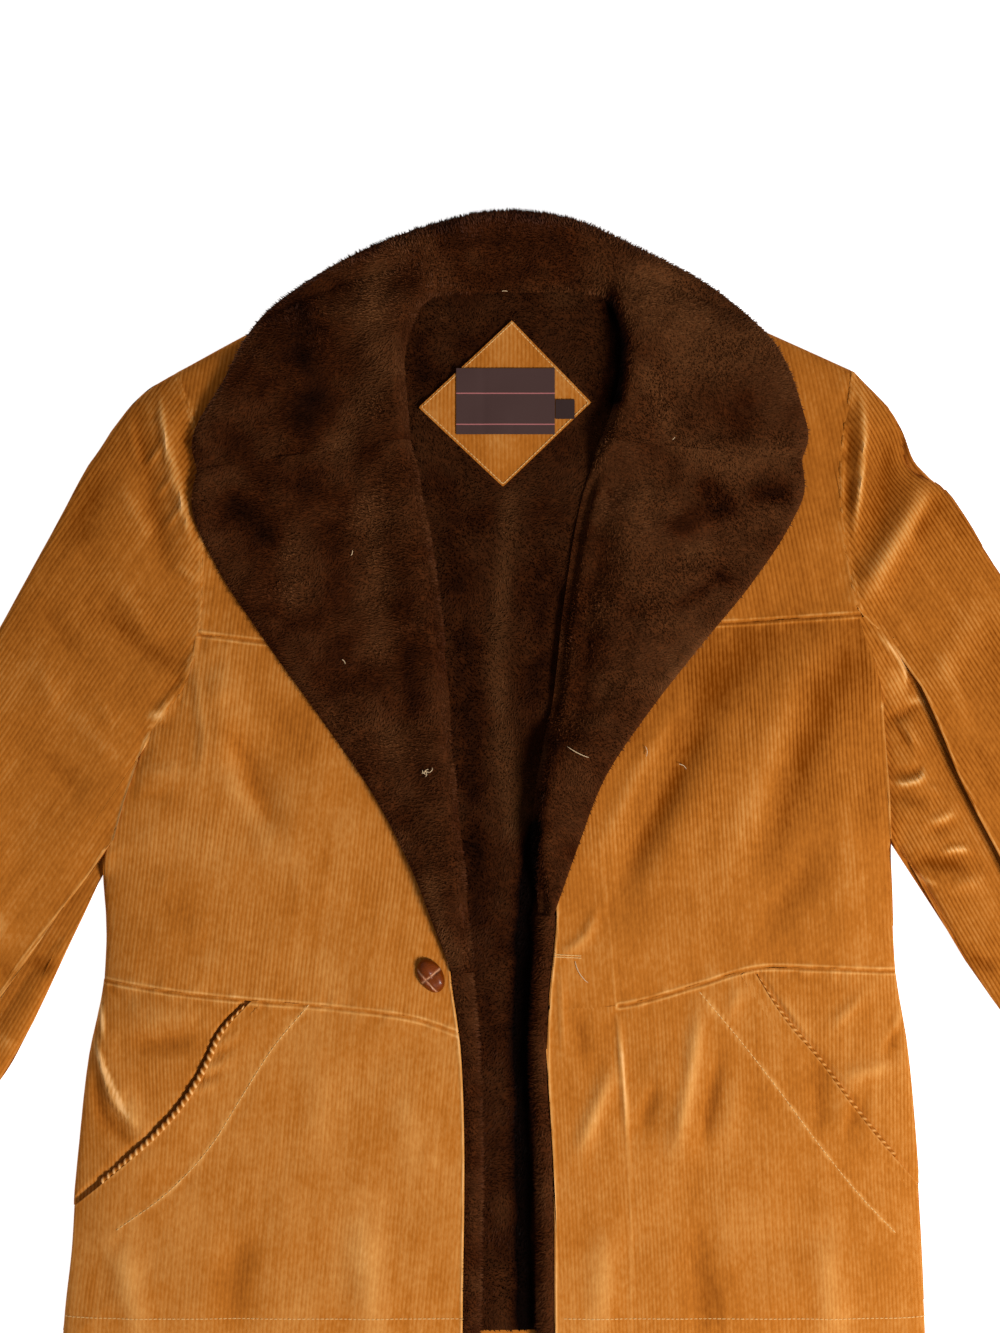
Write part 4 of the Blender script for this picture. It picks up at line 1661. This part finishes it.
class JACKET_OT_pile(bpy.types.Operator):
    """Adds the pile collar, lapels and front facings"""
    bl_idname = "jacket.pile"
    bl_label = "Collar, lapels and facings"

    def execute(self, context):
        self.collar(context)
        for number, side in enumerate(SIDES):
            self.lapel(context, side, 60 + number)
            self.facing(context, side, 64 + number)
        return {"FINISHED"}

    def collar(self, context):
        table = np.array(COLLAR, float)
        rows = spline(shares_along(table[:, 2:4]), table, np.linspace(0, 1, 150))
        inner, outer = rows[:, 0:2], rows[:, 2:4]
        mesh = pile_band(inner, outer, np.clip(rows[:, 4], 0, 1), 51)
        pile_piece(context, "collar", mesh, 7)

    def lapel(self, context, side, seed):
        """From the gorge seam down to the break, over the front."""
        outer = curve(LAPEL_EDGE[side], np.linspace(0, 1, 96))
        gorge = ROLL[side][0][1]
        levels = gorge + (outer[:, 1] - outer[0, 1]) * (BREAK[side] - gorge) / (outer[-1, 1] - outer[0, 1])
        inner = np.column_stack([curve_by_height(ROLL[side], levels), levels])
        plump = LAPEL_END + (1 - LAPEL_END) * smooth_step((levels - BREAK[side]) / LAPEL_TAPER)
        soft = SOFT_ROLL[side] * smooth_step((gorge - levels) / SOFT_TOP)
        soft = soft * smooth_step((levels - SOFT_LOWEST) / SOFT_BOTTOM)
        mesh = pile_band(inner, outer, np.zeros(len(outer)), seed, plump, soft)
        pile_piece(context, f"{side}_lapel", mesh, seed)

    def facing(self, context, side, seed):
        """Past the corduroy's front edge, from the break to the hem."""
        y = np.linspace(BREAK[side] - SEAM_GAP, HEM + HEM_SHORT, FACING_ROWS)
        width = facing_width(side, y)[:, None]
        from_inner = (width - EDGE_SHOWN) * np.linspace(0, 1, FACING_COLUMNS)
        x = curve_by_height(ROLL[side], y)[:, None] + OUTWARDS[side] * from_inner
        y = np.broadcast_to(y[:, None], x.shape)
        upper, middle, _, _ = layers(x, y)
        low = middle + LAYER_GAP
        lip = low + LIP / 2
        from_edge = width - from_inner
        rise = FACING_RISE[side] * round_up(from_edge / FACING_ROUND)
        rise = rise - EDGE_SETBACK * hump(from_edge / SETBACK_REACH)
        z = lip + (upper + rise - lip) * round_up(from_inner / ROLL_RADIUS)
        z = z + 0.5 * fluff(x, y, seed) * smooth_step(from_inner / ROLL_RADIUS)
        lean = xyz(-0.5 * OUTWARDS[side], -0.3, 0 * x)
        mesh = pile_shell(xyz(x, y, z), xyz(x, y, low), lean, seed)
        pile_piece(context, f"{side}_facing", mesh, seed)


class JACKET_OT_neck_label(bpy.types.Operator):
    """Adds the neck patch with the bare label and size tab"""
    bl_idname = "jacket.neck_label"
    bl_label = "Neck patch and label"

    def execute(self, context):
        sizes, colours = settings(context)
        outline = np.array([PATCH[corner] for corner in ("top", "left", "bottom", "right")], float)
        outline = np.vstack([a + (b - a) * np.linspace(0, 1, 12)[:-1, None]
                             for a, b in zip(outline, np.roll(outline, -1, axis=0))])
        mesh = ribbed("neck_patch", outline, self.patch_face, sizes, 91, thickness=PATCH_CLOTH)
        corduroy_piece(context, "neck_patch", mesh)
        material = material_named("Woven label", label_finish, colours)
        for name, box in (("label", LABEL), ("size_tab", SIZE_TAB)):
            self.woven(name, box, material)
        return {"FINISHED"}

    def patch_face(self, x, y):
        ripple = 0.5 * cloud(x, y, 26, 93)
        return lining_face(x, y) + SEAM_GAP + PATCH_CLOTH + 0.4 + ripple, 0.1 * ripple

    def woven(self, name, box, material):
        """Woven cloth on the patch, dented where it is pulled down in two places."""
        x, y = np.meshgrid(np.linspace(box["left"], box["right"], 33),
                           np.linspace(box["bottom"], box["top"], 25))
        dent = 0.35 * hump((x + 15) / 2.5) + 0.3 * hump((x - 8) / 2) * smooth_step((290 - y) / 12)
        z = self.patch_face(x, y)[0] + SEAM_GAP + LABEL_CLOTH - dent + 0.3
        over = xyz(x, y, z)
        points = np.vstack([over.reshape(-1, 3), (over - [0, 0, LABEL_CLOTH]).reshape(-1, 3)])
        piece = add_piece(name + "_woven", points, shell_faces(*x.shape, 1), material)
        declare(piece, [name])


class JACKET_OT_button(bpy.types.Operator):
    """Adds the woven leather button"""
    bl_idname = "jacket.button"
    bl_label = "Button"

    def execute(self, context):
        colours = settings(context)[1]
        around, rings = 64, 20
        length, width, rise = BUTTON_SIZE
        angle = np.linspace(0, 2 * math.pi, around, endpoint=False)[None, :]
        radius = np.sin(np.linspace(0, BUTTON_ROUND, rings))[1:, None]
        level = np.cos(np.linspace(0, BUTTON_ROUND, rings))[1:, None]
        foot = math.cos(BUTTON_ROUND)
        # two strips cross on the dome, with grooves between them and a swell on each
        p, q = radius * np.cos(angle), radius * np.sin(angle)
        cross = np.minimum(np.abs(p + 0.1 * q), np.abs(q - 0.5 - 0.3 * p))
        groove = hump(cross / BUTTON_GROOVE) * smooth_step((level + 0.1) / 0.4)
        swell = 0.06 * np.cos(p * 5) * np.sign(q - 0.5) + 0.05 * np.cos(q * 5) * np.sign(p + 0.05)
        z = (level - foot) / (1 - foot) * rise - BUTTON_GROOVE_DEPTH * groove
        z = z + rise * swell * smooth_step(level / 0.5)
        p, q = p * length / 2, q * width / 2
        x = BUTTON_PLACE[0] + p * math.cos(BUTTON_TURN) - q * math.sin(BUTTON_TURN)
        y = BUTTON_PLACE[1] + p * math.sin(BUTTON_TURN) + q * math.cos(BUTTON_TURN)
        seat = float(layers(x, y)[0].max()) + SEAM_GAP
        points = xyz(x, y, z + seat).reshape(-1, 3)
        top = [BUTTON_PLACE[0], BUTTON_PLACE[1], seat + rise]
        points = np.vstack([points, [top]])
        index = np.arange((rings - 1) * around).reshape(rings - 1, around)
        ahead = np.roll(index, -1, axis=1)
        faces = np.stack([index[:-1], index[1:], ahead[1:], ahead[:-1]], axis=-1).reshape(-1, 4).tolist()
        faces += [[len(points) - 1, int(a), int(b)] for a, b in zip(index[0], ahead[0])]
        faces.append(index[-1][::-1].tolist())
        rubbed = np.append((hump(cross / BUTTON_RUBBED) * smooth_step((level - 0.1) / 0.3)).ravel(), 0.4)
        material = material_named("Button leather", leather_finish, colours)
        piece = add_piece("button_leather", points, faces, material, rubbed=0.85 * rubbed)
        trim(piece, "leather", "button")
        return {"FINISHED"}


class JACKET_OT_stitching(bpy.types.Operator):
    """Adds the stitched lines of the seams, pockets, neck patch and buttonhole"""
    bl_idname = "jacket.stitching"
    bl_label = "Stitching"

    def execute(self, context):
        sizes, colours = settings(context)
        tree = bpy.data.node_groups.get("Stitches") or stitch_tree()
        values = {
            "Pitch": sizes.stitch_pitch,
            "Stitch Length": sizes.stitch_length,
            "Thread Width": sizes.thread_width,
            "Seed": 3,
            "Material": material_named("Thread", thread_finish, colours),
        }
        body = [f"{side}_{name}_corduroy" for side in SIDES
                for name in ("yoke", "front", "skirt_front", "skirt_side")]
        sleeves = [f"{side}_sleeve_top_corduroy" for side in SIDES]
        rows = [
            ("seam_stitches", self.seam_lines(), body + sleeves, values),
            ("patch_stitches", self.patch_lines(), ["neck_patch_corduroy"],
             {**values, **PATCH_SEWING}),
            ("buttonhole_stitches", self.buttonhole_lines(), ["left_front_corduroy"],
             {**values, **BUTTONHOLE_SEWING}),
        ]
        for name, lines, below, given in rows:
            trim(made_by(tree, name, self.lines_on(name, lines, below), given), "corduroy")
        return {"FINISHED"}

    def seam_lines(self):
        lines = []
        for side in SIDES:
            hem_ends = (SIDE_SEAM[side][-1][0], ROLL[side][-1][0] * HEM_END)
            outer, seam, _, _ = sleeve_lines(side)
            lines += [curve(POCKET_STITCHES[side]),
                      np.array([(x, HEM + HEM_STITCHES) for x in hem_ends], float),
                      np.array([outer[-4], seam[-4]])]
        return lines

    def patch_lines(self):
        corners = np.array([PATCH[name] for name in ("top", "left", "bottom", "right", "top")], float)
        centre = corners[:-1].mean(axis=0)
        return [centre + (corners - centre) * PATCH_STITCHES]

    def buttonhole_lines(self):
        (ax, ay), (bx, by) = BUTTONHOLE
        return [np.array([[ax, ay + d], [bx, by + d]], float) for d in (-BUTTONHOLE_HALF, BUTTONHOLE_HALF)]

    def lines_on(self, name, lines, below):
        """A mesh of edges along the lines, laid on the pieces below."""
        points, edges = [], []
        trees = surfaces([bpy.data.objects[piece] for piece in below])
        for line in lines:
            dense = []
            for a, b in zip(line[:-1], line[1:]):
                steps = max(2, int(np.linalg.norm(b - a) / 2))
                dense.append(a + (b - a) * np.linspace(0, 1, steps)[:-1, None])
            last = None
            for x, y in np.vstack(dense + [line[-1:]]) * MM:
                heights = heights_at(trees, x, y)
                if not heights:
                    last = None
                    continue
                points.append((x, y, max(heights) + 0.0001))
                if last is not None:
                    edges.append((last, len(points) - 1))
                last = len(points) - 1
        mesh = bpy.data.meshes.new(name + "_lines")
        mesh.from_pydata(points, edges, [])
        return mesh


class JACKET_OT_loose_threads(bpy.types.Operator):
    """Adds the lint and loose threads that lie on the cloth"""
    bl_idname = "jacket.loose_threads"
    bl_label = "Lint and loose threads"

    def execute(self, context):
        colours = settings(context)[1]
        shown = [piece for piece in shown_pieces() if piece.name.endswith(("_corduroy", "_pile"))]
        trees = surfaces(shown)
        parts = [self.thread(row, trees) for row in LOOSE_THREADS]
        points, faces, _ = joined_meshes(*parts)
        piece = add_piece("loose_threads", points, faces, material_named("Lint", self.lint, colours))
        trim(piece, "corduroy")
        return {"FINISHED"}

    def lint(self, colours):
        material, tree, shader = finish("Lint", Roughness=0.8, Sheen_Weight=0.2)
        pale = mixed(tree, noise(tree, 1200), dimmed(colours.lint, 0.8), tuple(colours.lint))
        tree.links.new(pale, shader.inputs["Base Color"])
        return material

    def thread(self, row, trees):
        """A thin tube along a bent line, just over the highest piece below."""
        x, y, length, direction, bend = row
        t = np.linspace(0, 1, THREAD_STEPS)
        heading = math.radians(direction) + bend * 2.2 * (t - 0.3)
        run = np.column_stack([np.cos(heading), np.sin(heading)])
        line = np.cumsum(run * length / THREAD_STEPS, axis=0) + [x, y]
        heights = [max(heights_at(trees, px, py) or [0.0]) / MM for px, py in line * MM]
        lift = ON_PILE if abs(x) < PILE_HALF and y > PILE_LOWEST else ON_CLOTH
        level = np.maximum.accumulate(heights) * 0.5 + np.array(heights) * 0.5 + lift
        angle = np.linspace(0, 2 * math.pi, THREAD_AROUND, endpoint=False)
        side = np.column_stack([-np.sin(heading), np.cos(heading)])
        thick = THREAD_RADIUS * np.sqrt(np.clip(1 - (2 * t - 1) ** 6, 0.1, 1))
        flat = line[:, None] + side[:, None] * (thick[:, None] * np.cos(angle))[..., None]
        z = level[:, None] + thick[:, None] * np.sin(angle)
        points = np.concatenate([flat, z[..., None]], axis=-1).reshape(-1, 3)
        return points, tube_faces(THREAD_STEPS, THREAD_AROUND, True), {}


class JACKET_OT_stage(bpy.types.Operator):
    """Adds the pale floor, soft light and the camera straight above"""
    bl_idname = "jacket.stage"
    bl_label = "Floor, light and camera"

    def execute(self, context):
        light = context.scene.jacket_light
        self.floor(light)
        self.lamp("key_light", KEY_PLACE, KEY_SIZE, light.key_power)
        world = bpy.data.worlds.new("Studio")
        world.use_nodes = True
        world.node_tree.nodes["Background"].inputs["Color"].default_value = (1, 1, 1, 1)
        world.node_tree.nodes["Background"].inputs["Strength"].default_value = light.fill
        context.scene.world = world
        context.scene.view_settings.view_transform = "Standard"
        self.camera(context)
        return {"FINISHED"}

    def floor(self, light):
        material, _, _ = finish("Floor", Base_Color=tuple(light.floor), Roughness=0.9,
                                Specular_IOR_Level=0.1, Emission_Color=(1, 1, 1, 1),
                                Emission_Strength=light.floor_glow)
        mesh = bpy.data.meshes.new("stage_floor")
        corners = [(x * FLOOR_HALF, y * FLOOR_HALF, FLOOR_LEVEL)
                   for x, y in ((-1, -1), (1, -1), (1, 1), (-1, 1))]
        mesh.from_pydata(corners, [], [(0, 1, 2, 3)])
        mesh.materials.append(material)
        linked("stage_floor", mesh)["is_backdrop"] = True

    def lamp(self, name, place, size, power):
        data = bpy.data.lights.new(name, "AREA")
        data.shape = "DISK"
        data.size = size
        data.energy = power
        lamp = linked(name, data)
        lamp.location = place
        lamp.rotation_euler = (Vector(KEY_AIM) - Vector(place)).to_track_quat("-Z", "Y").to_euler()

    def camera(self, context):
        data = bpy.data.cameras.new("camera")
        data.sensor_fit = "VERTICAL"
        data.sensor_height = SENSOR
        data.lens = SENSOR * CAMERA_HEIGHT / FRAME_HEIGHT
        camera = linked("camera", data)
        camera.location = (*FRAME_CENTRE, FRAME_LEVEL + CAMERA_HEIGHT)
        context.scene.camera = camera


def length(name, description, default):
    return bpy.props.FloatProperty(name=name, description=description, default=default, min=0.0,
                                   precision=5, unit="LENGTH")


def colour(name, description, default):
    return bpy.props.FloatVectorProperty(name=name, description=description, default=default, size=4,
                                         min=0.0, max=1.0, subtype="COLOR")


class JacketSizes(bpy.types.PropertyGroup):
    """Sizes of the cloth's fine detail"""
    wale_pitch: length("Wale pitch", "Distance from rib to rib of the corduroy", 0.0032)
    wale_rise: length("Wale rise", "Height of a rib", 0.00037)
    hair_spacing: length("Hair spacing", "Distance between the hairs of the pile", 0.0014)
    hair_length: length("Hair length", "Length of a hair", 0.0026)
    hair_width: length("Hair width", "Half width of a hair at its root", 0.00058)
    stitch_pitch: length("Stitch pitch", "Distance from stitch to stitch", 0.0036)
    stitch_length: length("Stitch length", "Length of a stitch that shows", 0.0034)
    thread_width: length("Thread width", "Thickness of the sewing thread", 0.001)


class JacketColours(bpy.types.PropertyGroup):
    """Colours of the cloth, thread, label and button"""
    deep: colour("Deep nap", "Thick nap in grooves and troughs", (0.15, 0.031, 0.0004, 1))
    corduroy: colour("Corduroy", "Most of the cloth", (0.39, 0.121, 0.0139, 1))
    nap: colour("Brushed nap", "Crests and light panels", (0.555, 0.24, 0.058, 1))
    worn: colour("Worn nap", "Rubbed ridges and seams", (0.74, 0.39, 0.145, 1))
    thread: colour("Thread", "Sewing thread", (0.72, 0.4, 0.13, 1))
    pile: colour("Pile", "Hair of the collar and lining", (0.058, 0.0135, 0.0028, 1))
    pile_root: colour("Pile ground", "Between the hairs", (0.026, 0.006, 0.0013, 1))
    pile_tip: colour("Brushed pile", "Where the pile is brushed towards the light", (0.165, 0.06, 0.019, 1))
    label: colour("Label", "Woven label", (0.066, 0.033, 0.029, 1))
    label_line: colour("Label line", "Two thin lines of the label", (0.36, 0.12, 0.115, 1))
    leather: colour("Leather", "Button", (0.185, 0.032, 0.001, 1))
    leather_edge: colour("Rubbed leather", "Edges of the button's strips", (0.6, 0.29, 0.15, 1))
    lint: colour("Lint", "Lint and loose threads", (0.64, 0.44, 0.24, 1))


class JacketLight(bpy.types.PropertyGroup):
    """Studio light and floor"""
    key_power: bpy.props.FloatProperty(name="Key light", description="Power of the large light at the right",
                                       default=82.0, min=0.0, unit="POWER")
    fill: bpy.props.FloatProperty(name="Fill", description="Strength of the even light",
                                  default=0.27, min=0.0)
    floor_glow: bpy.props.FloatProperty(name="Floor glow", description="How far the floor is lit from below",
                                        default=0.85, min=0.0)
    floor: colour("Floor", "Plain pale floor", (0.93, 0.93, 0.93, 1))


class JACKET_PT_sidebar(bpy.types.Panel):
    """Lists the jacket's pieces, sizes and colours"""
    bl_idname = "JACKET_PT_sidebar"
    bl_label = "Rancher jacket"
    bl_space_type = "VIEW_3D"
    bl_region_type = "UI"
    bl_category = "Jacket"

    def draw(self, context):
        for operator in OPERATORS:
            self.layout.operator(operator.bl_idname)
        for group in (context.scene.jacket_sizes, context.scene.jacket_colours, context.scene.jacket_light):
            box = self.layout.box()
            for key in group.__annotations__:
                box.prop(group, key)


OPERATORS = (JACKET_OT_back, JACKET_OT_body, JACKET_OT_sleeves, JACKET_OT_pocket_edges, JACKET_OT_pile,
             JACKET_OT_neck_label, JACKET_OT_button, JACKET_OT_stitching, JACKET_OT_loose_threads,
             JACKET_OT_stage)
GROUPS = {"jacket_sizes": JacketSizes, "jacket_colours": JacketColours, "jacket_light": JacketLight}
CLASSES = (*GROUPS.values(), *OPERATORS, JACKET_PT_sidebar)


def register():
    for kind in CLASSES:
        bpy.utils.register_class(kind)
    for name, group in GROUPS.items():
        setattr(bpy.types.Scene, name, bpy.props.PointerProperty(type=group))


def unregister():
    for name in GROUPS:
        delattr(bpy.types.Scene, name)
    for kind in reversed(CLASSES):
        bpy.utils.unregister_class(kind)


def main():
    register()
    bpy.ops.jacket.stage()
    bpy.ops.jacket.back()
    bpy.ops.jacket.body()
    bpy.ops.jacket.sleeves()
    bpy.ops.jacket.pocket_edges()
    bpy.ops.jacket.pile()
    bpy.ops.jacket.neck_label()
    bpy.ops.jacket.button()
    bpy.ops.jacket.stitching()
    bpy.ops.jacket.loose_threads()


if __name__ == "__main__":
    main()
